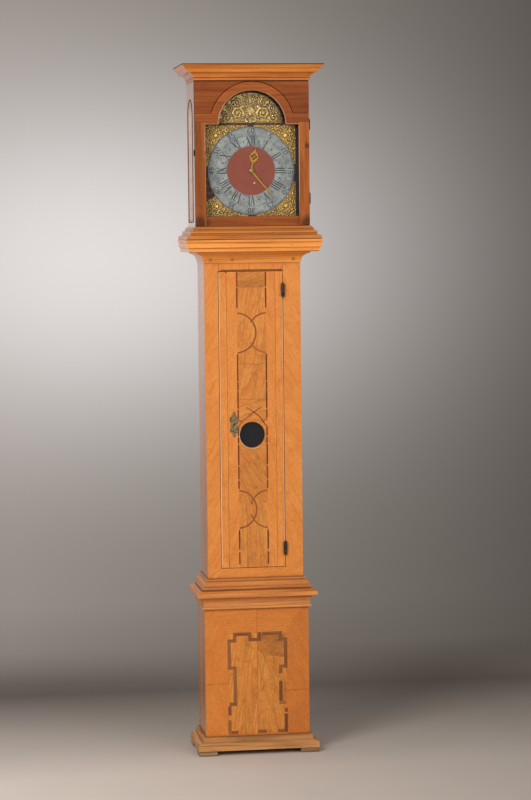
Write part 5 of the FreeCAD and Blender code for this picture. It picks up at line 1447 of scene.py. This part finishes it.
@dataclass
class Foliage:
    """Cast scrolls and leaves, worked out as a height over a flat ground. Sizes in millimetres."""

    relief: float = 2.6  # Height of the boldest scroll
    outline: float = 0.7  # Width of the dark outline round each stroke, painted shade where it meets the ground
    ground: float = 0.4  # Tone of the open ground
    strokes: list[Array] = field(default_factory=list)  # Each stroke as rows of x, z and half width

    def add(self, x: float, z: float, reach: Any, bearing: Any, width: Any) -> None:
        """Adds a stroke whose points lie at a reach and bearing from a place."""
        self.strokes.append(np.column_stack([x + reach * np.cos(bearing), z + reach * np.sin(bearing), width]))

    def scroll(self, x: float, z: float, radius: float, start: float, hand: int, turns: float = 1.35) -> None:
        """Adds a scroll with leaves along its back.

        The stem's radius falls evenly to a fifth while it turns, and its half width with it. Each leaf
        leaves the stem at a slant and narrows to its tip.

        Args:
            x: Centre of the scroll.
            z: Centre of the scroll.
            radius: Outer radius.
            start: Bearing of its outer end in degrees.
            hand: 1 to wind anticlockwise, -1 clockwise.
            turns: Number of turns.
        """
        t = np.linspace(0, 1, 46)
        bearing = math.radians(start) + hand * TURN * turns * t
        reach = radius * (1 - 0.8 * t)
        self.add(x, z, reach, bearing, radius * (0.19 - 0.08 * t))
        self.strokes.append(np.array([[x, z, radius * 0.2]]))
        for share in np.arange(0.0, 0.62, 0.115):
            root = bearing[0] + hand * TURN * turns * share
            base = radius * (1 - 0.8 * share)
            s = np.linspace(0, 1, 9)
            swing = root + hand * (0.62 * s)
            length = base * (1 + 0.52 * s * (1 - 0.25 * s))
            width = radius * 0.135 * (1 - s) ** 0.7 + 0.25
            self.add(x, z, length, swing, width)

    def leaf(self, x: float, z: float, length: float, bearing: float, bend: float, width: float) -> None:
        """Adds a leaf with three lobes on a bent stem.

        Args:
            x: Root of the leaf.
            z: Root of the leaf.
            length: Its length.
            bearing: Its bearing in degrees.
            bend: How much its bearing turns towards the tip, in degrees.
            width: Half width of its stem.
        """
        s = np.linspace(0, 1, 14)
        for spread, share in ((0, 1.0), (34, 0.62), (-34, 0.62)):
            swing = np.radians(bearing + spread + bend * s)
            step = length * share / (len(s) - 1)
            path_x = x + np.concatenate([[0], np.cumsum(np.cos(swing[1:]) * step)])
            path_z = z + np.concatenate([[0], np.cumsum(np.sin(swing[1:]) * step)])
            self.strokes.append(np.column_stack([path_x, path_z, width * (1 - s) ** 0.6 + 0.3]))

    def mirrored(self, axis: Place) -> None:
        """Adds the twin of every stroke across a line through the origin."""
        run = np.array(axis, float) / np.linalg.norm(axis)
        flip = 2 * np.outer(run, run) - np.eye(2)
        self.strokes += [np.column_stack([stroke[:, :2] @ flip, stroke[:, 2]]) for stroke in self.strokes]

    def rosette(self, x: float, z: float, radius: float, petals: int) -> None:
        """Adds a flower: petals that widen and narrow again along their length round a boss.

        Args:
            x: Its middle.
            z: Its middle.
            radius: Its radius.
            petals: Number of petals.
        """
        s = np.linspace(0.25, 1, 9)
        for bearing in np.arange(petals) / petals * TURN:
            width = radius * 0.24 * np.sin(s * 2.6) + 0.3
            self.add(x, z, radius * s, bearing, width)
        self.strokes.append(np.array([[x, z, radius * 0.22]]))

    def carpet(self, centres: Array, radius: float, seed: int) -> None:
        """Adds a plump hooked leaf at each place, each bent and turned its own way.

        Args:
            centres: Rows of x and z.
            radius: Mean radius of the scrolls.
            seed: Start of the random turns.
        """
        chance = np.random.default_rng(seed)
        for x, z in centres:
            size = radius * chance.uniform(0.75, 1.2)
            t = np.linspace(0, 1, 16)
            bearing = chance.uniform(0, TURN) + chance.choice([-1, 1]) * TURN * chance.uniform(0.2, 0.6) * t
            reach = size * (1 - 0.5 * t)
            width = 0.36 * size * (1 - 0.6 * t)
            self.add(x, z, reach, bearing, width)

    def height(self, places: Array) -> tuple[Array, Array]:
        """Height and colour tone of the casting at each place.

        Over a stroke the height is a half round: the root of one less the square of distance over half
        width, times the stroke's boldness. The highest stroke wins. The tone follows the height on a stroke, a
        painted highlight on its crest and painted shade on its slopes, falls to nothing in a narrow outline of
        painted shade round it and comes back to a middle value on open ground.

        Args:
            places: Rows of x and z.

        Returns:
            Heights and tones from 0 to 1.
        """
        best = np.zeros(len(places))
        clear = np.full(len(places), 9.0)
        for stroke in self.strokes:
            margin = stroke[:, 2].max() + 2.2
            low, high = stroke[:, :2].min(0) - margin, stroke[:, :2].max(0) + margin
            near = np.flatnonzero(((places >= low) & (places <= high)).all(1))
            if not len(near):
                continue
            far = np.sqrt(((places[near][:, None, :] - stroke[None, :, :2]) ** 2).sum(2))
            bold = np.clip(stroke[:, 2] / 2.0, 0.4, 1.0) * (1 + 0.12 * np.sin(np.arange(len(stroke)) * 1.9))
            dome = np.sqrt(np.clip(1 - (far / stroke[:, 2]) ** 2, 0, 1)) * bold
            best[near] = np.maximum(best[near], dome.max(1))
            clear[near] = np.minimum(clear[near], (far - stroke[:, 2]).min(1))
        # Painted shade: the tone falls to nothing in the outline round each stroke.
        ground = np.clip((clear - self.outline) / 0.8, 0, 1) * self.ground
        return best, np.where(clear < 0, 0.22 + 0.78 * best, ground)


@dataclass
class Dial(Section):
    """Brass dial with its ring, centre, gilt mounts and figures. Sizes in millimetres."""

    figures: Numerals = field(default_factory=Numerals)  # The engraved figures
    corner_reach: float = 140.5  # Half the width covered by the corner mounts
    ring_clear: float = 136.8  # Radius of the circle that the corner mounts leave free
    arch_radius: float = 99.5  # Radius of the arch mount
    arch_level: float = 141.5  # Level of the arch's centre above the dial's centre
    arch_foot: float = 6.0  # Foot of the arch mount above that centre
    scroll_pitch: float = 8.6  # Distance between two of the corner mounts' scrolls
    # First and last bearing of each corner mount, where it still has all its length or has lost some
    spans: tuple[tuple[float, float], ...] = ((8.0, 86.0), (4.0, 84.0), (34.0, 86.0), (6.0, 76.0))
    # X, z and radius of the pale spot, from the dial's centre
    spot: tuple[float, float, float] = (10.0, -38.0, 3.4)

    def build(self) -> None:
        """Dresses the dial's nodes and lays its figures and mounts."""
        self.dress({"dial_plate": DIAL_BRASS, "chapter_ring": RING, "dial_centre": MATTED})
        low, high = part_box("chapter_ring")
        face = low.y
        outer = (high.x - low.x) / 2 / MM
        inner = (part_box("dial_centre")[1].x) / MM
        self.piece("hour_figures", self.figures.hour_figures(face), WAX, "case", "silvered_ring")
        self.piece("minute_track", self.figures.minute_track(face, inner, outer), WAX, "case", "silvered_ring")
        self.piece("minute_figures", self.figures.minute_figures(face), WORN_WAX, "case", "silvered_ring")
        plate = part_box("dial_plate")[0].y
        centre_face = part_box("dial_centre")[0].y
        x, z, radius = self.spot
        spot = cap(radius, 0.15, 0.1, (x * MM, centre_face, DIAL_CENTRE[1] + z * MM), (0, -1, 0), 20)
        self.piece("dial_spot", spot, PALE_SPOT, "case", "matted_centre", True)
        # Dark strips down the dial plate's sides: painted shade in the gap between the plate and the mask.
        edges = [[(side * 146.2, z) for z in (1676, 1824, 1970)] for side in (-1, 1)]
        self.piece("dial_plate_edges", strips(edges, 11.2, plate, 23, 0.0003), MASK, "case", "mask_stain")
        pieces = [self.corner(quarter, plate) for quarter in range(4)]
        pieces.append(self.arch(plate))
        for piece in pieces:
            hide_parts("dial_mounts")

    def corner(self, quarter: int, plate: float) -> bpy.types.Object:
        """Casting of one corner: a flower among close-set scrolls.

        A place on it lies on the ray at its bearing, between the ring's circle and the dial's square edge.

        Args:
            quarter: 0 for the upper right, then anticlockwise.
            plate: Y of the dial plate's face.

        Returns:
            The casting.
        """
        foliage = Foliage(outline=1.1, ground=0.3)
        foliage.rosette(109, 109, 7.0, 6)
        chance = np.random.default_rng(40 + quarter)
        x, z = np.meshgrid(np.arange(6, 150, self.scroll_pitch), np.arange(6, 150, self.scroll_pitch))
        x = x + self.scroll_pitch / 2 * (np.arange(len(x)) % 2)[:, None]
        centres = np.column_stack([x.ravel(), z.ravel()]) + chance.uniform(-1.3, 1.3, (x.size, 2))
        far = np.linalg.norm(centres, axis=1)
        open_ground = (far > self.ring_clear + 2) & (centres.max(1) < self.corner_reach) & (
            np.linalg.norm(centres - 109, axis=1) > 11.0
        )
        foliage.carpet(centres[open_ground], 4.4, 60 + quarter)
        rows, columns = 260, 90
        first, last = self.spans[quarter]
        bearing = np.radians(np.linspace(first, last, rows))
        share = np.linspace(0, 1, columns)
        edge = self.corner_reach / np.maximum(np.cos(bearing), np.sin(bearing))
        radius = self.ring_clear + (edge - self.ring_clear)[:, None] * share[None, :]
        flat = np.stack([radius * np.cos(bearing)[:, None], radius * np.sin(bearing)[:, None]],
            -1).reshape(-1, 2)
        return self.cast(f"corner_mount_{quarter + 1}", foliage, flat, (rows, columns), quarter, 0.0, plate)

    def arch(self, plate: float) -> bpy.types.Object:
        """Casting of the arch: scrolls and leaves to either side of a shell.

        A place on it lies at a share of the height between the arch's foot and its curve.

        Args:
            plate: Y of the dial plate's face.

        Returns:
            The casting.
        """
        foliage = Foliage(outline=1.2, ground=0.5)
        for row in (
            (40, 36, 19, 200, -1, 1.5), (73, 22, 13, 170, 1, 1.4), (68, 52, 10, 250, -1), (40, 71, 12, 290, 1),
            (16, 78, 9, 300, -1), (89, 12, 6, 130, -1), (22, 14, 8, 120, 1),
        ):
            foliage.scroll(*row)
        for row in (
            (52, 12, 15, -10, 30, 2.6), (22, 54, 16, 60, -30, 2.8), (56, 66, 12, 70, 25, 2.2),
            (82, 36, 10, 60, 20, 2.0), (8, 10, 13, 30, -10, 2.0),
        ):
            foliage.leaf(*row)
        foliage.mirrored((0, 1))
        for rib in range(-4, 5):
            bearing = math.radians(90 + rib * 15)
            s = np.linspace(0.15, 1, 16)
            reach = (22 - 1.3 * abs(rib)) * s
            foliage.add(0, 34, reach, bearing, 0.7 + 1.2 * s)
        foliage.strokes.append(np.array([[0, 33, 5.0]]))
        x, z = np.meshgrid(np.arange(-96, 100, 9.0), np.arange(10, 100, 9.0))
        centres = np.column_stack([x.ravel(), z.ravel()]) + np.random.default_rng(5).uniform(-2.5, 2.5,
            (x.size, 2))
        stems = np.vstack([stroke[:, :2] for stroke in foliage.strokes])
        far = np.linalg.norm(centres[:, None, :] - stems[None], axis=2).min(1)
        foliage.carpet(centres[(far > 3.2) & (np.linalg.norm(centres, axis=1) < self.arch_radius - 3)], 3.6, 7)
        rows, columns = 280, 130
        x = self.arch_radius * np.sin(np.linspace(-0.9, 0.9, rows) * math.pi / 2)
        share = np.linspace(0, 1, columns)
        top = np.sqrt(self.arch_radius ** 2 - x ** 2)
        rise = self.arch_foot + (top - self.arch_foot)[:, None] * share[None, :]
        flat = np.stack([np.repeat(x[:, None], columns, 1), rise], -1).reshape(-1, 2)
        return self.cast("arch_mount", foliage, flat, (rows, columns), 0, self.arch_level, plate)

    def cast(self, name: str, foliage: Foliage, flat: Array, shape: tuple[int, int],
             quarter: int, level: float, plate: float) -> bpy.types.Object:
        """Turns a height over a grid of places into a closed casting let a little into the plate.

        Args:
            name: The casting's name.
            foliage: Its ornament.
            flat: Places as x and z from the dial's or arch's centre.
            shape: Rows and columns of the places.
            quarter: Quarter turns anticlockwise.
            level: Level of the centre above the dial's centre.
            plate: Y of the dial plate's face.

        Returns:
            The casting.
        """
        height, tone = foliage.height(flat)
        lift = 0.35 + foliage.relief * height
        spot = on_dial(flat[:, 0], flat[:, 1], -quarter * math.pi / 2)
        points = np.column_stack([spot[:, 0], plate - lift * MM, spot[:, 1] + level * MM])
        shell = backed(points, *shape, plate + 0.3 * MM)
        shell.tone = np.concatenate([tone, np.zeros(len(shell.points) - len(points))])
        return self.piece(name, shell, ARCH_GILT if level else GILT, "case", "gilt", True)


@dataclass
class Hands(Section):
    """Gilt hands. Sizes in millimetres."""

    collet_radius: float = 6.4  # Radius of the domed collet over the minute hand
    pin_radius: float = 1.5  # Radius of the pin's head in its middle

    def build(self) -> None:
        """Dresses the hands and adds the domed collet and its pin."""
        self.dress({"minute_hand": HAND, "hour_hand": HAND})
        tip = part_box("minute_hand")[0].y
        collet = cap(self.collet_radius, 0.8, 2.0, (0, tip + 0.9 * MM, DIAL_CENTRE[1]), (0, -1, 0), 36)
        pin = cap(self.pin_radius, 3.0, 0.5, (0, tip + 0.9 * MM, DIAL_CENTRE[1]), (0, -1, 0), 16)
        self.piece("hand_collet", joined([collet, pin]), COLLET, "minute_hand", "hand_gilt", True)


# Metalwork of the case


@dataclass
class CaseMetal(Section):
    """Hinges, lock, keyhole plate and glass of the trunk door. Sizes in millimetres."""

    nail_radius: float = 1.3

    def build(self) -> None:
        """Dresses the metalwork and adds its nails."""
        self.dress({
            "trunk_hinge_posts": IRON, "trunk_door_hinge_leaves": IRON, "lock_case": IRON,
            "lock_bolt": STEEL, "escutcheon": PLATE, "lenticle_glass": DARK_GLASS,
        })
        low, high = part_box("escutcheon")
        x, _, level = self.middle("escutcheon")
        half = (high.z - low.z) / 2
        nail = cap(self.nail_radius, 0.2, 0.6, (0, 0, 0), (0, -1, 0), 14)
        nails = placed(nail, [(x, low.y, level + side * half * 0.82) for side in (-1, 1)])
        self.piece("keyhole_plate_nails", nails, PLATE, "trunk_door", "worn_brass", True)
        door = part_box("trunk_door")[0].y
        # Dark disc behind the keyhole: painted shade inside the hole.
        hole = cap(3.6, 0.2, 0.1, (x, door, level), (0, -1, 0), 20)
        self.piece("keyhole_dark", hole, WAX, "trunk_door", "iron", True)
        case_low, case_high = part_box("lock_case")
        screws = placed(cap(2.6, 0.3, 0.8, (0, 0, 0), (0, 1, 0), 16), [
            (case_low.x + dx * MM, case_high.y, case_low.z + dz * MM) for dx in (8, 50) for dz in (8, 54)
        ])
        self.piece("lock_screws", screws, STEEL, "trunk_door", "iron", True)


# Movement


@dataclass
class Movement(Section):
    """Plates, trains, bell and pendulum. Sizes in millimetres."""

    ratchet_radius: float = 13.5  # Radius of the ratchet beside each chain drum
    ratchet_teeth: int = 20  # Its teeth
    dial_depth: float = 35.0  # Depth of the dial plate's face behind the hood door's
    drums: tuple[float, float] = (36.0, 34.5)  # X of the going drum, and both drums' drop from the dial

    def build(self) -> None:
        """Dresses the movement and adds its ratchets, pins and screws."""
        brass = ("movement_frame", "back_cock", "great_wheel", "second_wheel", "escape_wheel",
            "strike_great_wheel",
                 "hoop_wheel", "warning_wheel", "fly", "count_wheel")
        steel = ("anchor", "count_detent", "hammer", "pendulum_rod")
        self.dress({**{node: BRASS for node in brass}, **{node: STEEL for node in steel}})
        self.dress({"bell": BELL, "pendulum_bob": BOB, "seatboard": CARCASE})
        for node in ("great_wheel", "strike_great_wheel"):
            self.ratchet(node)
        self.pins()

    def ratchet(self, node: str) -> None:
        """Ratchet wheel between a chain drum and its great wheel.

        Each tooth rises along a slope to the full radius and drops straight back.

        Args:
            node: The great wheel's node.
        """
        aside, below = self.drums
        x, z = (aside if node == "great_wheel" else -aside) * MM, DIAL_CENTRE[1] - below * MM
        index = np.arange(self.ratchet_teeth)
        angle = np.column_stack([index, index + 0.92]).ravel() / self.ratchet_teeth * TURN
        radius = np.tile([self.ratchet_radius - 2.0, self.ratchet_radius], self.ratchet_teeth) * MM
        outline = np.column_stack([x + radius * np.cos(angle), z + radius * np.sin(angle)])
        plane = self.front()
        shell = prism(outline, plane + 110.5 * MM, plane + 113.5 * MM)
        self.piece(node + "_ratchet", shell, STEEL, node, "steel")

    def front(self) -> float:
        """Y of the hood door's face, from which the depths of the movement are counted."""
        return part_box("dial_plate")[0].y - self.dial_depth * MM

    def pins(self) -> None:
        """Taper pins behind the front plate's pillars, and the screws of the cock."""
        low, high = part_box("movement_frame")
        plane = self.front()
        front = plane + 65 * MM
        seat, top = low.z, high.z
        boss = cap(3.0, 2.4, 1.2, (0, 0, 0), (0, -1, 0), 18)
        spots = [(side * 66 * MM, front, seat + 10 * MM) for side in (-1, 1)]
        spots += [(side * 40 * MM, front, top - 9 * MM) for side in (-1, 1)]
        self.piece("pillar_ends", placed(boss, spots), BRASS, "case", "brass", True)
        cock_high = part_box("back_cock")[1]
        screw = cap(3.2, 0.8, 0.9, (0, 0, 0), (0, 1, 0), 18)
        heads = [(side * 13 * MM, plane + 149 * MM, cock_high.z - 11 * MM) for side in (-1, 1)]
        self.piece("cock_screws", placed(screw, heads), STEEL, "case", "steel", True)


@dataclass
class Drive(Section):
    """Chains, weights and counterweights. Sizes in millimetres."""

    pitch: float = 5.4  # Distance between the middles of two links
    link_length: float = 7.6  # Length of a link
    link_width: float = 4.2  # Width of a link
    rod: float = 2.2  # Radius of the plain rod that the links stand for
    wire: float = 0.55  # Radius of its wire

    def link(self) -> Shell:
        """One open link at the origin, upright in the plane of X and Z."""
        wide, tall = self.link_width / 2 - self.wire, self.link_length / 2 - self.wire
        return wire_ring(wide, tall, self.wire, 10, 5)

    def strung(self, places: Array, leans: Array) -> Shell:
        """Links at each place, every second one turned a quarter round the chain's line.

        Args:
            places: X, y and z of each link's middle.
            leans: How far the chain's line leans from upright at each link, in the plane of X and Z.

        Returns:
            All the links.
        """
        one = self.link()
        quarter = np.arange(len(places)) % 2 * math.pi / 2
        c, s = np.cos(quarter)[:, None], np.sin(quarter)[:, None]
        wide, thick, z = one.points.T[:, None, :]
        x, y = wide * c - thick * s, wide * s + thick * c
        c, s = np.cos(leans)[:, None], np.sin(leans)[:, None]
        spread = np.stack([x * c + z * s, y, z * c - x * s], -1) + places[:, None, :]
        count = len(one.points)
        faces = np.array(one.faces)[None] + (np.arange(len(places)) * count)[:, None, None]
        return Shell(spread.reshape(-1, 3), [tuple(face) for face in faces.reshape(-1, 4).tolist()])

    def build(self) -> None:
        """Hangs both chains and dresses the weights."""
        self.dress({
            "going_weight": WEIGHT, "strike_weight": WEIGHT, "going_counterweight": WEIGHT,
            "strike_counterweight": WEIGHT,
        })
        for train in ("going", "strike"):
            self.hang(train)

    def hang(self, train: str) -> None:
        """Hangs one chain: a strand to the weight, a strand to the counterweight and the bend over the drum.

        Args:
            train: going or strike.
        """
        node = train + "_chain"
        low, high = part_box(node)
        centre_x, plane, _ = self.middle(node)
        radius = (high.x - low.x) / 2 - self.rod * MM
        top = high.z - radius - self.rod * MM
        for name in ("weight", "counterweight"):
            hung = f"{train}_{name}"
            x, hung_high = self.middle(hung).x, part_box(hung)[1]
            count = int((top - hung_high.z) / (self.pitch * MM))
            z = np.linspace(top, hung_high.z + 0.5 * self.pitch * MM, count)
            places = np.column_stack([np.full(count, x), np.full(count, plane), z])
            shell = self.strung(places, np.zeros(count))
            piece = self.piece(f"{hung}_strand", shell, CHAIN_WIRE, "", "chain_iron", True)
            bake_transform(piece)
            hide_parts(node)
            eye = placed(wire_ring(3.6, 3.6, 1.1, 20, 8), [(x, plane, hung_high.z - 4 * MM)])
            self.piece(f"{hung}_eye", eye, CHAIN_WIRE, hung, "weight_iron", True)
        count = int(math.pi * radius / (self.pitch * MM))
        swing = np.linspace(0.1, math.pi - 0.1, count)
        places = np.column_stack([centre_x + radius * np.cos(swing), np.full(count, plane),
            top + radius * np.sin(swing)])
        bend = self.piece(f"{node}_bend", self.strung(places, -swing), CHAIN_WIRE, "case", "chain_iron", True)
        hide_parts(node)


# Studio


@dataclass
class Studio:
    """Floor, backdrop, lamps and camera."""

    camera_place: tuple[float, float, float] = (-1.0852, -7.4414, 1.6555)  # Where the camera stands
    yaw: float = 8.635  # How far it looks to the right, in degrees
    pitch: float = -4.167  # How far it looks up
    roll: float = -0.611  # How far it is turned about its line of sight
    lens: float = 107.95  # Focal length for a 36 mm sensor height

    def build(self) -> None:
        """Sets the studio up."""
        self.backdrop()
        self.lamps()
        self.camera()
        bpy.context.scene.view_settings.view_transform = "Standard"

    def backdrop(self) -> None:
        """Pale floor that curves up into a wall.

        Along Y the sheet is level, then a quarter round, then upright.
        """
        bend = np.linspace(0, math.pi / 2, 16)
        radius, wall = 0.25, 1.0
        level = np.array([[-9.0, 0.0], [-1.0, 0.0], [0.3, 0.0], [wall - 0.1, 0.0]])
        curve = np.column_stack([wall + radius * np.sin(bend), radius * (1 - np.cos(bend))])
        rise = np.array([[wall + radius, 1.5], [wall + radius, 6.5]])
        line = np.vstack([level, curve, rise])
        x = np.linspace(-7, 7, 15)
        points = np.stack([
            np.repeat(x[:, None], len(line), 1), np.repeat(line[None, :, 0], 15, 0), np.repeat(line[None, :,
                1], 15, 0),
        ], -1)
        mesh = bpy.data.meshes.new("backdrop")
        faces = [face[::-1] for face in grid_faces(15, len(line))]
        mesh.from_pydata(points.reshape(-1, 3).tolist(), [], faces)
        mesh.polygons.foreach_set("use_smooth", np.full(len(mesh.polygons), True))
        mesh.materials.append(self.paper())
        sheet = linked("backdrop", mesh)

    def paper(self) -> Material:
        """Material of the sheet: a soft painted patch of light on the wall, painted shade to its right and at
        its foot, and a floor painted darker to the right and towards the wall.

        The painted patch falls off as one half to the power of the squared distance from its middle. The wall
        glows with its painted colour to the camera and in reflections, and can't be seen from behind.
        """
        net = Net("studio_paper")
        parts = net.axes()
        # Painted patch of light on the wall, its middle to the left of the clock.
        across = net.math("POWER", net.math("DIVIDE", net.math("SUBTRACT", parts[0], -0.42), 0.89), 2.0)
        along = net.math("POWER", net.math("DIVIDE", net.math("SUBTRACT", parts[2], 1.54), 0.53), 2.0)
        painted_pool_of_light = net.math("POWER", 0.5, net.math("ADD", across, along))
        # Painted shade on the wall: darker to the right and at its foot.
        wall = net.layer(srgb(0x928A83), srgb(0x5C5752), parts[0], -0.7, 1.25)
        wall = net.mix(painted_pool_of_light, wall, srgb(0xE3DDDC))
        wall = net.layer(wall, srgb(0x544A42), parts[2], 0.0, 0.28, 0.42, 0.0)
        # Painted shade on the floor: darker to the right and towards the wall.
        floor = net.layer(srgb(0xE2D4C7), srgb(0xBAAEA1), parts[0], -0.8, 0.9)
        floor = net.layers(floor, (
            (srgb(0x70665D), parts[1], -0.3, 1.0),
            (wall, parts[2], 0.02, 0.12),
        ))
        cloud = net.noise(net.place(), 3.0, 3)
        floor = net.layer(floor, srgb(0x8C847E), cloud, 0.35, 0.75, 0.0, 0.08)
        # The wall glows with its painted light and shade for camera, glossy and transmission rays.
        ray = net.add("LightPath").outputs
        seen = net.math("MAXIMUM", ray["Is Camera Ray"], net.math("MAXIMUM", ray["Is Glossy Ray"],
            ray["Is Transmission Ray"]))
        seen = net.math("MULTIPLY", seen, net.spread(parts[2], 0.02, 0.12))
        surface = net.add("BsdfPrincipled", {"Base Color": floor, "Roughness": 0.9}).outputs[0]
        painted_wall_glow = net.add("Emission", {"Color": wall, "Strength": 1.0}).outputs[0]
        surface = net.add("MixShader", {0: seen, 1: surface, 2: painted_wall_glow}).outputs[0]
        clear = net.add("BsdfTransparent").outputs[0]
        behind = net.add("NewGeometry").outputs["Backfacing"]
        surface = net.add("MixShader", {0: behind, 1: surface, 2: clear}).outputs[0]
        net.add("OutputMaterial", {"Surface": surface})
        return net.material

    def lamps(self) -> None:
        """One wide soft lamp at the left, a weaker one at the right and an even sky."""
        for name, place, aim, size, energy in (
            ("key_lamp", (-2.9, -3.4, 3.2), (0.0, 0.0, 1.2), (1.8, 2.6), 150.0),
            ("fill_lamp", (2.6, -4.4, 2.2), (0.0, 0.0, 1.1), (2.4, 2.6), 52.0),
        ):
            light = bpy.data.lights.new(name, "AREA")
            light.shape = "RECTANGLE"
            light.size, light.size_y = size
            light.energy = energy
            lamp = linked(name, light)
            back = np.array(place) - np.array(aim)
            back /= np.linalg.norm(back)
            right = np.cross([0, 0, 1], back)
            right /= np.linalg.norm(right)
            rows = np.column_stack([right, np.cross(back, right), back])
            lamp.matrix_world = Matrix.Translation(place) @ Matrix(rows.tolist()).to_4x4()
        world = bpy.data.worlds.new("soft_sky")
        world.use_nodes = True
        sky = world.node_tree.nodes["Background"]
        sky.inputs[0].default_value = (*srgb(0xECECF0), 1.0)
        sky.inputs[1].default_value = 0.55
        bpy.context.scene.world = world

    def camera(self) -> None:
        """Camera at the photograph's angle.

        Its line of sight comes from the yaw and pitch, and its upright is turned about that line by the roll.
        """
        yaw, pitch, roll = (math.radians(angle) for angle in (self.yaw, self.pitch, self.roll))
        ahead = np.array([math.sin(yaw) * math.cos(pitch), math.cos(yaw) * math.cos(pitch), math.sin(pitch)])
        level = np.array([math.cos(yaw), -math.sin(yaw), 0.0])
        upright = np.cross(level, ahead)
        right = math.cos(roll) * level + math.sin(roll) * upright
        up = math.cos(roll) * upright - math.sin(roll) * level
        data = bpy.data.cameras.new("camera")
        data.sensor_width = 36.0
        data.sensor_height = 36.0
        data.lens = self.lens
        data.clip_end = 60.0
        camera = linked("camera", data)
        rows = np.column_stack([right, up, -ahead])
        camera.matrix_world = Matrix.Translation(self.camera_place) @ Matrix(rows.tolist()).to_4x4()
        bpy.context.scene.camera = camera


def main() -> None:
    """Builds the clock's looks part by part, then the studio."""
    logging.basicConfig(level=logging.INFO, format="%(name)s: %(message)s")
    for part in (Base(), Trunk(), Hood(), Dial(), Hands(), CaseMetal(), Movement(), Drive()):
        part.build()
        log.info("%s done", type(part).__name__)
    Studio().build()


if __name__ == "__main__":
    main()
